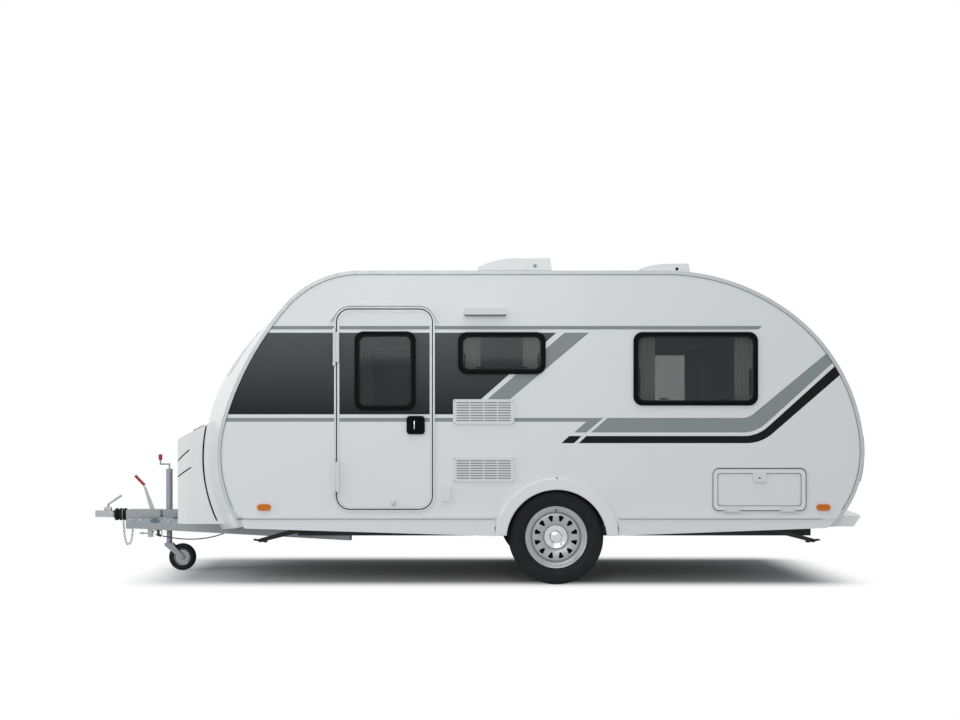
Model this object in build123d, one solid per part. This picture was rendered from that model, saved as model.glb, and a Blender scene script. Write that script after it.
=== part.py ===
from build123d import *
import math
import os

# A rounded touring caravan: coupling towards -X, entrance door on -Y, ground at z = 0.

# Body
half_width = 1050
wall = 30
floor_z = 391
floor_depth = 40
seam = 0.3
front_seam_x = -1110
rear_seam_x = 1850
trim_width = 25
trim_height = 5

# Body sections: roof height, front and rear base height, and at each end the x where the roof line
# stops and three tangent arcs (radius as a share of the roof height, turn); the last turns to the base.
roof_crown = 70
side_section = dict(
    roof=2107, front_base=floor_z, rear_base=floor_z,
    front_x=-715, front=((0.318, 49.3), (0.972, 24.7), (0.403, None)),
    rear_x=1329, rear=((0.6692, 38.2), (0.5771, 45.7), (0.3484, None)),
)
centre_section = dict(
    roof=side_section["roof"] + roof_crown, front_base=320, rear_base=floor_z,
    front_x=-480, front=((0.6835, 31.0), (0.6578, 28.9), (0.5567, None)),
    rear_x=1329, rear=((0.6798, 38.2), (0.6109, 45.7), (0.3675, None)),
)

# Windows: wall side (-1 door side, 1 far side), frame edges x0, x1, z0, z1
window_table = (
    (-1, -57, 529, 1413, 1694),
    (-1, 1117, 1950, 1203, 1695),
    (1, -900, -67, 1203, 1695),
    (1, 1117, 1950, 1203, 1695),
)
window_corner = 60
window_rim = 33
window_proud = 12
pane_thick = 14
pane_slack = 0.4
front_window = dict(half=700, bottom=1420, top=1730, corner=90)

# Entrance door
door = dict(x0=-868, x1=-232, z0=511, z1=1846, corner=86)
door_gap = 7
door_frame_width = 12
door_frame_proud = 8
door_window = dict(x0=-750, x1=-341, z0=1170, z1=1699)
door_handle = dict(x=-341, z=1072, width=122, height=123, proud=14, corner=22, rim=16, cup=9, paddle=34)
hinge_heights = (726, 1595)
hinge_length = 200
hinge_x = -884
hinge_out = 24
hinge_barrel = 10
hinge_pin = 5
hinge_foot = (3, 15)
hinge_slack = 0.3
gutter = dict(clear=4, height=11, proud=22, drop=75, flare=14)

# Service hatch
hatch = dict(x0=1653, x1=2271, z0=501, z1=778, corner=36)
hatch_border = 28
hatch_pocket = 4
hatch_gap = 6
hatch_frame_width = 9
hatch_frame_proud = 5
hatch_axis_drop = 4
hatch_axis_out = 14
hatch_barrel = 7
hatch_latch = dict(width=92, height=68, proud=10)

# Fittings on the door side wall: edges x0, x1, z0, z1, and how far they stand off
lamp_box = dict(x0=-22, x1=269, z0=1809, z1=1852, proud=45)
vent_table = ((-91, 319, 1079, 1245), (-91, 319, 693, 856))
vent_proud = 10
vent_columns = 4
vent_rows = 8
outlet_box = dict(x0=-172, x1=-108, z0=562, z1=661, proud=18)
marker_x = (-1356, 2388)
marker_z = 521
marker_length = 92
marker_height = 42
marker_proud = 14

# Skirts and wheel arches
skirt_front = ((-1500, 380), (188, 329))
skirt_rear = ((1018, 332), (2486, 386))
skirt_top = 446
skirt_thick = 12
rail_height = 24
rail_proud = 8
arch_z = 302
arch_radius = 337
spat_width = 79
spat_proud = 25
spat_edge = 7
box_slack = 25
box_thick = 5
box_inner = 790

# Running gear
wheel_x = 603
tyre_radius = 317.5
tyre_width = 195
wheel_y = half_width - 115
rim_flange = 208
rim_width = 152
rim_bead = 190
rim_holes = 12
drum_radius = 150
stub_radius = 20
axle_flats = 98
axle_lead = 150
arm_thick = 42

# Chassis
rail_y = 600
rail_thick = 5
rail_flange = 45
rail_deep_z = 300
rail_span = (-1180, 2420)
cross_x = (-560, 1500, 2380)
beam_front = dict(x=-2516, y=62, z0=317)
beam_rear = dict(x=-820, y=553, z0=262)
beam_flange = 42
beam_gap = 3

# Coupling
shaft_z = 416
shaft_radius = 22
housing = dict(x0=-2516, x1=-2260, half=58, z1=454)
bellows_x0 = -2612
bellows_ribs = 3
bellows_radius = 46
bellows_waist = 34
head_half = 38
ball_x = -2719.5
ball_radius = 25
ball_slack = 0.5
ball_z = 412

# Jockey wheel
jockey_x = -2206
jockey_trail = 99
jockey_radius = 100
jockey_width = 50
jockey_tube = 24
jockey_bore = 21.3
jockey_slack = 0.3
jockey_tube_span = (306, 747)
jockey_leg_foot = 204
jockey_leg_top = 640
fork_side = 8
fork_gap = 7

# Corner steadies: name, pivot x, way of the foot along x, y
steady_y = half_width - 350
steady_table = (
    ("front_door_side", -1090, -1, -steady_y), ("front_far_side", -1090, -1, steady_y),
    ("rear_door_side", 2068, 1, -steady_y), ("rear_far_side", 2068, 1, steady_y),
)
steady_z = 365
steady_reach = 352
steady_angle = 15
steady_width = 46
steady_pin = 7

# Gas locker lid
lid = dict(front_x=-2045, front_z=955, slope=0.5, bottom_z=412, half=half_width - 290, nose=25,
           cheek_x=-1800, bow=38, round=110, brow=45)
lid_skin = 12
lid_stand = 48
lid_groove = dict(depth=5, width=9, run=170)
groove_table = ((792, 40.8), (691, 32.5))
lid_gap = 8

# Rooflights: x0, x1, half width, height over the roof; then points of their side view as shares of
# length and rise, front to rear
rooflight_table = (("large", 88, 622, 330, 106), ("small", 1269, 1633, 240, 78))
light_brow = (0.2, 0.72)
light_crest = (0.6, 0.965)
light_heel = (0.975, 1.0)
light_front = 22
light_corner = 14
curb_height = 16
light_lip = 26
light_skin = 8

# Tail
bumper = dict(x0=2440, z0=376, z1=463, out=110)
tail_lamp = dict(y=half_width - 220, width=120, z0=690, z1=1000, proud=30)

# Furniture seen through the windows
panel = 18

light_axis = 18
light_axis_up = 12
light_lift = 2
light_pin = 4
light_ear = 8
tie_width = 50
tie_z = 330
tie_front_x = -1660
axle_half = wheel_y - 167
arm_big = 50
arm_small = 40
stub_past = 10
rim_lip = 5
rim_skin = 5
tyre_shoulder = 18
tyre_round = 12
tyre_bulge = ((0.25, 0.96), (0.5, 1.0))
disc_root = 20
disc_crown = 48
disc_seat = 38
disc_skin = 6
disc_ring = (106, 160)
hub_seat = 84
cap_radius = 32
cap_out = 26
slot_r = (106, 154)
slot_w = (8, 19)
slot_round = 6
drum_back = 58
head_z = (397, 444)
coupling_handle = dict(foot_x=-2662, bend_z=492, tip_x=-2563, tip_z=557, bend=18, radius=9)
handbrake = dict(foot_x=-2328, foot_half=18, top_x=-2386, top_half=8, top_z=624, thick=12, y=-20,
                 grip=11, grip_lift=8.3, grip_x=-2456, grip_z=704)
clamp_before = 46
clamp_after = 62
clamp_plate = 150
clamp_half = 42
plate_thick = 8
tube_cap = 8
leg_skin = 4
fork_crown = 22
fork_boss = 16
fork_pin = 6
jockey_rim = 62
jockey_round = 14
jockey_crank = dict(arm_z=790, throw=67, radius=6, knob_z=(821, 863), knob=14)
chain_ring_width = 3
chain_ring_thick = 8
chain_eye = 5
chain_eye_rim = 4
chain_links = 19
chain_play = 0.6
nose_plate = dict(length=46, thick=6)
link_length = 26
link_breadth = 17
link_wire_radius = 2.4
link_end_faces = 4
steady_eye = 18
steady_toe = 13
steady_shoe = 90
steady_shoe_tilt = 10
kitchen = dict(x0=-120, x1=560, depth_y=520, top=1330)
bench = dict(x0=1250, top=850)
curtain_width = 150
curtain_thick = 4
curtain_depth = 16
curtain_folds = 5
cable_radius = 4
cable_points = (
    (-2243, -120, 264), (-2175, -120, 251), (-2105, -120, 242), (-2033, -120, 238), (-1962, -120, 241),
    (-1893, -120, 250), (-1826, -120, 265), (-1765, -120, 288), (-1710, -120, 318),
)
gland_radius = 8
hook_length = 30
hook_thick = 8


def end_arcs(start_x, roof, base, arcs, toward, inset):
    point, heading, turned, edges = (start_x, roof - inset), (toward, 0), 0, []
    for share, turn in arcs:
        r = share * roof - inset
        if turn is None:
            level = math.cos(math.radians(turned)) - (Vector(*point).Y - base) / r
            turn = math.degrees(math.acos(level)) - turned
        arc = JernArc(point, heading, r, -toward * turn)
        point, heading, turned = tuple(arc @ 1)[:2], tuple(arc % 1)[:2], turned + turn
        edges.append(arc)
    return edges


# A body section as a face in (x, z), drawn in by inset, its base lowered by drop
def section_face(section, inset=0, drop=0):
    front = end_arcs(section["front_x"], section["roof"], section["front_base"] - drop,
                     section["front"], -1, inset)
    rear = end_arcs(section["rear_x"], section["roof"], section["rear_base"] - drop,
                    section["rear"], 1, inset)
    base = Line(front[-1] @ 1, rear[-1] @ 1)
    ridge = Line(front[0] @ 0, rear[0] @ 0)
    return make_face([*front, base, *rear, ridge])


# The body's skin as one solid across the width, drawn in by inset
def body_loft(inset=0, drop=0, half=half_width - wall):
    side = section_face(side_section, inset, drop)
    centre = section_face(centre_section, inset, drop)
    return loft([Plane.XZ.offset(half) * side, Plane.XZ * centre, Plane.XZ.offset(-half) * side])


def block(x0, x1, y0, y1, z0, z1):
    return Pos((x0 + x1) / 2, (y0 + y1) / 2, (z0 + z1) / 2) * Box(x1 - x0, y1 - y0, z1 - z0)


def rounded(x0, x1, z0, z1, corner):
    return Pos((x0 + x1) / 2, (z0 + z1) / 2) * RectangleRounded(x1 - x0, z1 - z0, corner)


# A side view sketch (x, z) given depth from y0 to y1
def slab(sketch, y0, y1):
    return extrude(Plane.XZ.offset(-max(y0, y1)) * sketch, amount=abs(y1 - y0))


# The same on one wall: from and to are distances outward from the wall's outer face
def on_wall(sketch, side, start, end):
    return slab(sketch, side * (half_width + start), side * (half_width + end))


def rod(a, b, radius):
    span = Vector(*b) - Vector(*a)
    return extrude(Plane(origin=a, z_dir=span) * Circle(radius), amount=span.length)


def cross_rod(x, z, y0, y1, radius):
    return rod((x, min(y0, y1), z), (x, max(y0, y1), z), radius)


def both_sides(shape):
    return shape + mirror(shape, about=Plane.XZ)


nodes = {}

# Body shell: front, roof and rear panels
skin = body_loft() - body_loft(wall, 60)
reach = 6000
front_cut = block(-reach, front_seam_x, -reach, reach, 0, reach)
rear_cut = block(rear_seam_x, reach, -reach, reach, 0, reach)
middle_cut = block(front_seam_x + seam, rear_seam_x - seam, -reach, reach, 0, reach)
w = front_window
front_hole = extrude(
    Plane.YZ.offset(-reach) * Pos(0, (w["bottom"] + w["top"]) / 2)
    * RectangleRounded(2 * w["half"], w["top"] - w["bottom"], w["corner"]), amount=reach + front_seam_x)
front_plug = extrude(
    Plane.YZ.offset(-reach) * Pos(0, (w["bottom"] + w["top"]) / 2)
    * RectangleRounded(2 * (w["half"] - pane_slack), w["top"] - w["bottom"] - 2 * pane_slack,
                       w["corner"] - pane_slack), amount=reach + front_seam_x)
front_shell = skin & front_cut
nodes["front_panel"] = front_shell - front_hole
panes = [front_shell & front_plug]
nodes["rear_panel"] = skin & rear_cut
roof = skin & middle_cut

# Roof openings
for name, x0, x1, half, top in rooflight_table:
    roof_top = centre_section["roof"]
    roof -= block(x0 + 2 * light_lip, x1 - 2 * light_lip, -half + 2 * light_lip, half - 2 * light_lip,
                  roof_top - 400, roof_top + top)
nodes["roof_panel"] = roof
floor = body_loft(wall + seam, 60, half_width - wall - seam) & block(
    -reach, reach, -reach, reach, floor_z, floor_z + floor_depth)

# Side walls
outline = section_face(side_section)
arch_hole = Pos(wheel_x, arch_z) * Circle(arch_radius)


def window_hole(x0, x1, z0, z1):
    return rounded(x0 + window_rim, x1 - window_rim, z0 + window_rim, z1 - window_rim,
                   window_corner - window_rim / 2)


d = door
h = hatch
door_hole = rounded(d["x0"] - door_gap, d["x1"] + door_gap, d["z0"] - door_gap, d["z1"] + door_gap,
                    d["corner"] + door_gap)
door_leaf = rounded(d["x0"], d["x1"], d["z0"], d["z1"], d["corner"])
hatch_hole = rounded(h["x0"] - hatch_gap, h["x1"] + hatch_gap, h["z0"] - hatch_gap, h["z1"] + hatch_gap,
                     h["corner"] + hatch_gap)
hatch_leaf = rounded(h["x0"], h["x1"], h["z0"], h["z1"], h["corner"])
for side, node in ((-1, "side_wall_door"), (1, "side_wall_far")):
    face = outline - arch_hole
    for window_side, *edges in window_table:
        if window_side == side:
            face -= window_hole(*edges)
    if side < 0:
        face = face - door_hole - hatch_hole
    nodes[node] = on_wall(face, side, -wall, 0)
band = outline - section_face(side_section, trim_width)
nodes["edge_trims"] = both_sides(on_wall(band, -1, 0, trim_height))

# Windows
frames = []
for side, x0, x1, z0, z1 in window_table:
    outer = rounded(x0, x1, z0, z1, window_corner)
    inner = window_hole(x0, x1, z0, z1)
    frames.append(on_wall(outer - inner, side, 0, window_proud))
    glass = rounded(x0 + window_rim + pane_slack, x1 - window_rim - pane_slack,
                    z0 + window_rim + pane_slack, z1 - window_rim - pane_slack,
                    window_corner - window_rim / 2 - pane_slack)
    panes.append(on_wall(glass, side, window_proud - 4 - pane_thick, window_proud - 4))
nodes["window_frames"] = Compound(frames)
nodes["window_panes"] = Compound(panes)

# Entrance door
frame_ring = rounded(d["x0"] - door_gap - door_frame_width, d["x1"] + door_gap + door_frame_width,
                     d["z0"] - door_gap - door_frame_width, d["z1"] + door_gap + door_frame_width,
                     d["corner"] + door_gap + door_frame_width) - door_hole
fixed_frames = [on_wall(frame_ring, -1, 0, door_frame_proud)]
# Rain gutter arched over the frame, its ends turned out
g = gutter
rim = door_gap + door_frame_width + g["clear"]
arch_outer = rounded(d["x0"] - rim - g["height"], d["x1"] + rim + g["height"], d["z0"], d["z1"] + rim + g["height"],
                     d["corner"] + rim + g["height"])
arch_inner = rounded(d["x0"] - rim, d["x1"] + rim, d["z0"], d["z1"] + rim, d["corner"] + rim)
gutter_end = d["z1"] + rim - g["drop"]
gutter_arch = (arch_outer - arch_inner) & Pos(0, gutter_end + reach / 2) * Rectangle(2 * reach, reach)
for edge, away in ((d["x0"] - rim, -1), (d["x1"] + rim, 1)):
    gutter_arch += make_face(Polyline(
        (edge, gutter_end), (edge + away * g["height"], gutter_end),
        (edge + away * (g["height"] + g["flare"]), gutter_end - 2 * g["flare"]),
        (edge + away * g["flare"], gutter_end - 2 * g["flare"]), close=True))
fixed_frames.append(on_wall(gutter_arch, -1, 0, g["proud"]))
v = door_window
door_hole_inner = window_hole(v["x0"], v["x1"], v["z0"], v["z1"])
nodes["door_leaf"] = on_wall(door_leaf - door_hole_inner, -1, -wall, 0)
nodes["door_window_frame"] = on_wall(
    rounded(v["x0"], v["x1"], v["z0"], v["z1"], window_corner) - door_hole_inner, -1, 0, window_proud)
nodes["door_window_pane"] = on_wall(
    rounded(v["x0"] + window_rim + pane_slack, v["x1"] - window_rim - pane_slack,
            v["z0"] + window_rim + pane_slack, v["z1"] - window_rim - pane_slack,
            window_corner - window_rim / 2 - pane_slack),
    -1, window_proud - 4 - pane_thick, window_proud - 4)
k = door_handle


def handle_face(rim, half_x):
    half_z = k["height"] / 2 - rim
    return rounded(k["x"] - half_x, k["x"] + half_x, k["z"] - half_z, k["z"] + half_z, k["corner"] - rim / 2)


cup = handle_face(k["rim"], k["width"] / 2 - k["rim"]) - handle_face(k["rim"] + 4, k["paddle"] / 2)
nodes["door_handle"] = on_wall(handle_face(0, k["width"] / 2), -1, 0, k["proud"]) - on_wall(
    cup, -1, k["proud"] - k["cup"], k["proud"])

# Door hinges: barrels on the leaf turn on pins carried by brackets on the wall
hinge_y = -half_width - hinge_out
barrels, pins = [], []
for z in hinge_heights:
    low, high = z - hinge_length / 2, z + hinge_length / 2
    tongue = block(hinge_x, d["x0"] + hinge_foot[1], hinge_y - 4, hinge_y + 4, low, high)
    foot = block(d["x0"] + hinge_foot[0], d["x0"] + hinge_foot[1], hinge_y - 4, -half_width, low, high)
    barrel = rod((hinge_x, hinge_y, low), (hinge_x, hinge_y, high), hinge_barrel)
    bore = rod((hinge_x, hinge_y, low - 1), (hinge_x, hinge_y, high + 1), hinge_pin + hinge_slack)
    barrels.append(barrel + tongue + foot - bore)
    pin = rod((hinge_x, hinge_y, low - 24), (hinge_x, hinge_y, high + 24), hinge_pin)
    for end, away in ((low, -1), (high, 1)):
        near = end + away * 1
        far = end + away * 24
        pin += block(hinge_x - hinge_barrel, hinge_x + hinge_pin, hinge_y - hinge_barrel, -half_width,
                     min(near, far), max(near, far)) - block(
            d["x0"] - door_gap - door_frame_width - 0.5, 0, -half_width - door_frame_proud - 0.5,
            -half_width, 0, reach)
    pins.append(pin)
nodes["door_hinges"] = Compound(barrels)
fixed_frames += pins

# Service hatch, hinged along its lower edge
hatch_ring = rounded(h["x0"] - hatch_gap - hatch_frame_width, h["x1"] + hatch_gap + hatch_frame_width,
                     h["z0"] - hatch_gap - hatch_frame_width, h["z1"] + hatch_gap + hatch_frame_width,
                     h["corner"] + hatch_gap + hatch_frame_width) - hatch_hole
fixed_frames.append(on_wall(hatch_ring, -1, 0, hatch_frame_proud))
pocket = rounded(h["x0"] + hatch_border, h["x1"] - hatch_border, h["z0"] + hatch_border, h["z1"] - hatch_border,
                 h["corner"] / 2)
nodes["service_door"] = on_wall(hatch_leaf, -1, -wall, 0) - on_wall(pocket, -1, -hatch_pocket, 0)
t = hatch_latch
latch_x = (h["x0"] + h["x1"]) / 2
latch = on_wall(
    rounded(latch_x - t["width"] / 2, latch_x + t["width"] / 2, h["z1"] - t["height"] - 22, h["z1"] - 22, 14),
    -1, 0, t["proud"])
hatch_axis = (-half_width - hatch_axis_out, h["z0"] - hatch_axis_drop)
hatch_barrels, hatch_pins = [], []
for share in (0.2, 0.8):
    x = h["x0"] + share * (h["x1"] - h["x0"])
    y, z = hatch_axis
    barrel = rod((x - 40, y, z), (x + 40, y, z), hatch_barrel)
    plate = block(x - 40, x + 40, y - hatch_barrel, -half_width, h["z0"] + 10, h["z0"] + 24)
    plate += block(x - 40, x + 40, y - hatch_barrel, y, z, h["z0"] + 24)
    bore = rod((x - 41, y, z), (x + 41, y, z), 3 + hinge_slack)
    hatch_barrels.append(barrel + plate - bore)
    pin = rod((x - 56, y, z), (x + 56, y, z), 3)
    for start, end in ((x - 56, x - 41), (x + 41, x + 56)):
        pin += block(start, end, y - 5, -half_width - hatch_frame_proud - seam, z - 5, z + 5)
    hatch_pins.append(pin)
nodes["service_door_fittings"] = Compound(hatch_barrels + [latch])
nodes["door_frames"] = Compound(fixed_frames + hatch_pins)

# Fittings on the door side wall
a = lamp_box
covers = [on_wall(rounded(a["x0"], a["x1"], a["z0"], a["z1"], 16), -1, 0, a["proud"])]
for x0, x1, z0, z1 in vent_table:
    cover = on_wall(rounded(x0, x1, z0, z1, 12), -1, 0, vent_proud)
    pitch_x = (x1 - x0 - 40) / vent_columns
    pitch_z = (z1 - z0 - 30) / vent_rows
    slots = [
        Pos(x0 + 20 + (i + 0.5) * pitch_x, z0 + 15 + (j + 0.5) * pitch_z)
        * Rectangle(pitch_x - 8, pitch_z * 0.45)
        for i in range(vent_columns) for j in range(vent_rows)]
    covers.append(cover - on_wall(Sketch() + slots, -1, vent_proud / 2, vent_proud))
o = outlet_box
covers.append(on_wall(rounded(o["x0"], o["x1"], o["z0"], o["z1"], 10), -1, 0, o["proud"]))
nodes["wall_fittings"] = Compound(covers)
markers = [on_wall(Pos(x, marker_z) * SlotOverall(marker_length, marker_height), side, 0, marker_proud)
           for side in (-1, 1) for x in marker_x]
nodes["side_markers"] = Compound(markers)

# Skirts with their rails, and the arch spats between them
strips = []
for (xa, za), (xb, zb) in (skirt_front, skirt_rear):
    strip = on_wall(make_face(Polyline((xa, za), (xb, zb), (xb, skirt_top), (xa, skirt_top), close=True)),
                    -1, 0, skirt_thick)
    strip += on_wall(rounded(xa, xb, skirt_top, skirt_top + rail_height, rail_height / 2.5),
                     -1, 0, skirt_thick + rail_proud)
    strips.append(strip)
spat = Pos(wheel_x, arch_z) * (Circle(arch_radius + spat_width) - Circle(arch_radius))
spat &= Pos(wheel_x, skirt_rear[0][1] + reach / 2) * Rectangle(reach, reach)
spat_ring = on_wall(spat, -1, 0, spat_proud)
spat_ring = fillet(spat_ring.faces().sort_by(Axis.Y)[0].edges(), spat_edge)
inside_trim = on_wall(section_face(side_section, trim_width + seam, 100), -1, -1, 60)
round_spat = on_wall(Pos(wheel_x, arch_z) * Circle(arch_radius + spat_width + seam), -1, -1, 60)
strips = [(s & inside_trim) - round_spat for s in strips]
nodes["skirts"] = Compound(strips + [mirror(s, about=Plane.XZ) for s in strips])
nodes["wheel_spats"] = both_sides(spat_ring)

# Wheel boxes closing the arches inside the cabin
box_radius = arch_radius + box_slack
box_low = floor_z + floor_depth
dome = slab(Pos(wheel_x, arch_z) * Circle(box_radius), -half_width + wall, -box_inner)
dome -= slab(Pos(wheel_x, arch_z) * Circle(box_radius - box_thick), -half_width + wall - 1,
             -box_inner - box_thick)
dome &= block(-reach, reach, -reach, 0, box_low, reach)
floor -= both_sides(
    block(wheel_x - box_radius + 30, wheel_x + box_radius - 30, -reach, -box_inner - 20, 0, box_low + 1))
nodes["floor_panel"] = floor + both_sides(dome)

# Rooflights: a curb round each roof opening and a wedge lid hinged near its front edge
outside = body_loft()
curbs = []
for name, x0, x1, half, top in rooflight_table:
    curb_top = centre_section["roof"] + curb_height
    lip = light_lip
    ring = block(x0 + lip, x1 - lip, -half + lip, half - lip, curb_top - 120, curb_top)
    ring -= block(x0 + 2 * lip, x1 - 2 * lip, -half + 2 * lip, half - 2 * lip, 0, reach)
    axis_x, axis_z = x0 + light_axis, curb_top + light_axis_up
    low = curb_top + light_lift
    rise = centre_section["roof"] + top - low
    brow, crest, heel = [(x0 + a * (x1 - x0), low + b * rise) for a, b in (light_brow, light_crest, light_heel)]
    brink = (x0, low + light_front)
    wedge = make_face([Line((x0, low), brink), ThreePointArc(brink, brow, crest),
                       Polyline(crest, heel, (x1, low), (x0, low))])
    wedge = fillet(wedge.vertices().sort_by(Axis.X)[-2], light_corner)
    hollow = offset(wedge, -light_skin) + Pos((x0 + x1) / 2, low) * Rectangle(
        x1 - x0 - 2 * light_skin, 0.3 * rise)
    lid_shell = slab(wedge, -half, half) - slab(hollow, -half + light_skin, half - light_skin)
    for y in (-half / 2, half / 2):
        arm = block(axis_x - light_pin - 3, x0 + lip + 1, y - light_ear, y + light_ear,
                    curb_top - curb_height / 2, axis_z + light_pin + 3)
        ring += arm + cross_rod(axis_x, axis_z, y - 3 * light_ear, y + 3 * light_ear, light_pin)
        lid_shell -= block(x0 - 1, x0 + lip + 8, y - light_ear - 6, y + light_ear + 6, low - 1, axis_z + 3 * light_pin)
        for sign in (-1, 1):
            lug_y = y + sign * (2 * light_ear + 6)
            lug = block(x0 + light_skin / 2, axis_x + 2 * light_pin, lug_y - 5, lug_y + 5,
                        axis_z - light_pin - 4, axis_z + light_pin + 5)
            lid_shell += lug - cross_rod(axis_x, axis_z, lug_y - 6, lug_y + 6, light_pin + hinge_slack)
    curbs.append(ring - outside)
    nodes[f"rooflight_{name}_lid"] = lid_shell
nodes["rooflight_curbs"] = Compound(curbs)

# Chassis: two C rails under the floor and the A-frame beams that run forward to the coupling
rail = block(*rail_span, rail_y - rail_flange, rail_y, rail_deep_z, floor_z)
rail -= block(-reach, reach, rail_y - rail_flange - 1, rail_y - rail_thick,
              rail_deep_z + rail_thick, floor_z - rail_thick)
rails = [rail, mirror(rail, about=Plane.XZ)]
f, r = beam_front, beam_rear
beam_run = Vector(r["x"] - f["x"], f["y"] - r["y"], 0)
beam_plane = Plane(origin=(f["x"], -f["y"], 0), x_dir=beam_run, z_dir=beam_run.cross(Vector(0, 0, 1)))
beam_face = make_face(Polyline((0, f["z0"]), (beam_run.length, r["z0"]), (beam_run.length, floor_z),
                               (0, floor_z), close=True))
beam_solid = extrude(beam_plane * beam_face, amount=-beam_flange)
beam_pocket = extrude(beam_plane.offset(-rail_thick) * offset(beam_face, -rail_thick), amount=-beam_flange)
nodes["drawbar_beams"] = both_sides(beam_solid - beam_pocket)
notch = extrude(beam_plane.offset(beam_gap) * offset(beam_face, beam_gap), amount=-beam_flange - 2 * beam_gap)
nodes["front_panel"] -= both_sides(notch)
ties = []
for x in cross_x:
    ties.append(block(x - tie_width / 2, x + tie_width / 2, -rail_y + rail_thick, rail_y - rail_thick,
                      tie_z, floor_z - rail_thick))
front_tie = block(tie_front_x, tie_front_x + tie_width, -rail_y, rail_y, tie_z, floor_z - rail_thick)
between = extrude(beam_plane * beam_face, amount=-reach)
front_tie &= between
front_tie &= mirror(between, about=Plane.XZ)
front_tie -= both_sides(beam_solid)
ties.append(front_tie)
nodes["chassis_rails"] = Compound(rails + ties)

# Axle: a hexagon tube under the rails, trailing arms and stub axles
axle_x = wheel_x - axle_lead
axle_z = rail_deep_z - axle_flats / 2
hexagon = Pos(axle_x, axle_z) * RegularPolygon(axle_flats / 2, 6, major_radius=False)
axle_beam = slab(hexagon, -axle_half, axle_half)
hub_edges = (Pos(axle_x, axle_z) * Circle(arm_big)).edges() + (Pos(wheel_x, tyre_radius) * Circle(arm_small)).edges()
arm = slab(make_hull(hub_edges), -axle_half - arm_thick, -axle_half)
stub_tip = wheel_y + stub_past
arm += cross_rod(wheel_x, tyre_radius, -stub_tip, -axle_half - arm_thick, stub_radius)
nodes["axle"] = axle_beam + both_sides(arm)

# Road wheels: profiles turned about the axle, (radius, distance inboard of the wheel's centre)
bead = rim_width / 2 - rim_lip
tyre_half = tyre_width / 2
tread_half = tyre_half - tyre_shoulder
tyre_wall = [(rim_bead + seam, bead), (rim_flange + seam, bead)]
tyre_wall += [(rim_flange + a * (tyre_radius - rim_flange), b * tyre_half) for a, b in tyre_bulge]
tyre_wall += [(tyre_radius - tyre_round, tread_half + tyre_round), (tyre_radius, tread_half - tyre_round)]
tyre_face = make_face(Polyline(*tyre_wall, *[(r, -y) for r, y in reversed(tyre_wall)], close=True))
tyre = revolve(tyre_face, Axis.Y)
well = rim_bead - rim_skin
lip_edge = rim_width / 2
rim_face = make_face(Polyline(
    (well, -lip_edge), (rim_flange, -lip_edge), (rim_flange, -bead - seam), (rim_bead, -bead - seam),
    (rim_bead, bead + seam), (rim_flange, bead + seam), (rim_flange, lip_edge), (well, lip_edge), close=True))
disc_face = make_face(Polyline(
    (well + 1, -disc_root), (disc_ring[1], -disc_crown), (disc_ring[0], -disc_crown - 2),
    (hub_seat, -disc_seat), (cap_radius + 1, -disc_seat), (cap_radius + 1, -disc_seat + disc_skin),
    (hub_seat - 2, -disc_seat + disc_skin), (disc_ring[0] - 2, -disc_crown - 2 + disc_skin),
    (disc_ring[1] - 2, -disc_crown + disc_skin), (well + 1, -disc_root + disc_skin + 3), close=True))
rim = revolve(rim_face, Axis.Y) + revolve(disc_face, Axis.Y)
slot_face = make_face(Polyline((slot_r[0], -slot_w[0]), (slot_r[1], -slot_w[1]), (slot_r[1], slot_w[1]),
                               (slot_r[0], slot_w[0]), close=True))
slot_cut = extrude(Plane.XZ.offset(-10) * fillet(slot_face.vertices(), slot_round), amount=120)
for i in range(rim_holes):
    rim -= Rot(0, (i + 0.5) * 360 / rim_holes, 0) * slot_cut
seat = -disc_seat + disc_skin + seam
drum_face = make_face(Polyline(
    (0, -disc_seat - cap_out), (cap_radius - 8, -disc_seat - cap_out), (cap_radius, -disc_seat - cap_out + 10),
    (cap_radius, seat), (hub_seat - 4, seat), (hub_seat - 4, seat + 14), (drum_radius, seat + 14),
    (drum_radius, drum_back), (stub_radius + hinge_slack, drum_back), (stub_radius + hinge_slack, -stub_past - 2),
    (0, -stub_past - 2), close=True))
drum = revolve(drum_face, Axis.Y)
for place, turn, sign in (("door_side", 0, -1), ("far_side", 180, 1)):
    at = Pos(wheel_x, sign * wheel_y, tyre_radius) * Rot(0, 0, turn)
    nodes[f"tyre_{place}"] = at * tyre
    nodes[f"rim_{place}"] = at * rim
    nodes[f"hub_{place}"] = at * drum

# Coupling: overrun housing on the beams, bellows round the shaft, ball head with its handle
p = housing
box = slab(rounded(p["x0"], p["x1"], floor_z, p["z1"], 10), -p["half"], p["half"])
nodes["overrun_housing"] = box
bellows_x1 = p["x0"] - seam
pitch = (bellows_x1 - bellows_x0) / bellows_ribs
fold = [Line((bellows_x0, shaft_radius + seam), (bellows_x0, bellows_waist))]
for i in range(bellows_ribs):
    xa = bellows_x0 + i * pitch
    fold.append(ThreePointArc((xa, bellows_waist), (xa + pitch / 2, bellows_radius), (xa + pitch, bellows_waist)))
fold.append(Polyline((bellows_x1, bellows_waist), (bellows_x1, shaft_radius + seam),
                     (bellows_x0, shaft_radius + seam)))
shaft_axis = Axis((0, 0, shaft_z), (1, 0, 0))
nodes["bellows"] = revolve(Plane(origin=(0, 0, shaft_z), z_dir=(0, -1, 0), x_dir=(1, 0, 0)) * make_face(fold), shaft_axis)
head_plan = make_hull((Pos(ball_x, 0) * Circle(head_half)).edges() + (Pos(bellows_x0 - shaft_radius - seam, 0) * Circle(shaft_radius)).edges())
head = extrude(Plane.XY.offset(head_z[0]) * head_plan, amount=head_z[1] - head_z[0])
head += rod((ball_x, 0, shaft_z), (p["x0"], 0, shaft_z), shaft_radius)
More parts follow.
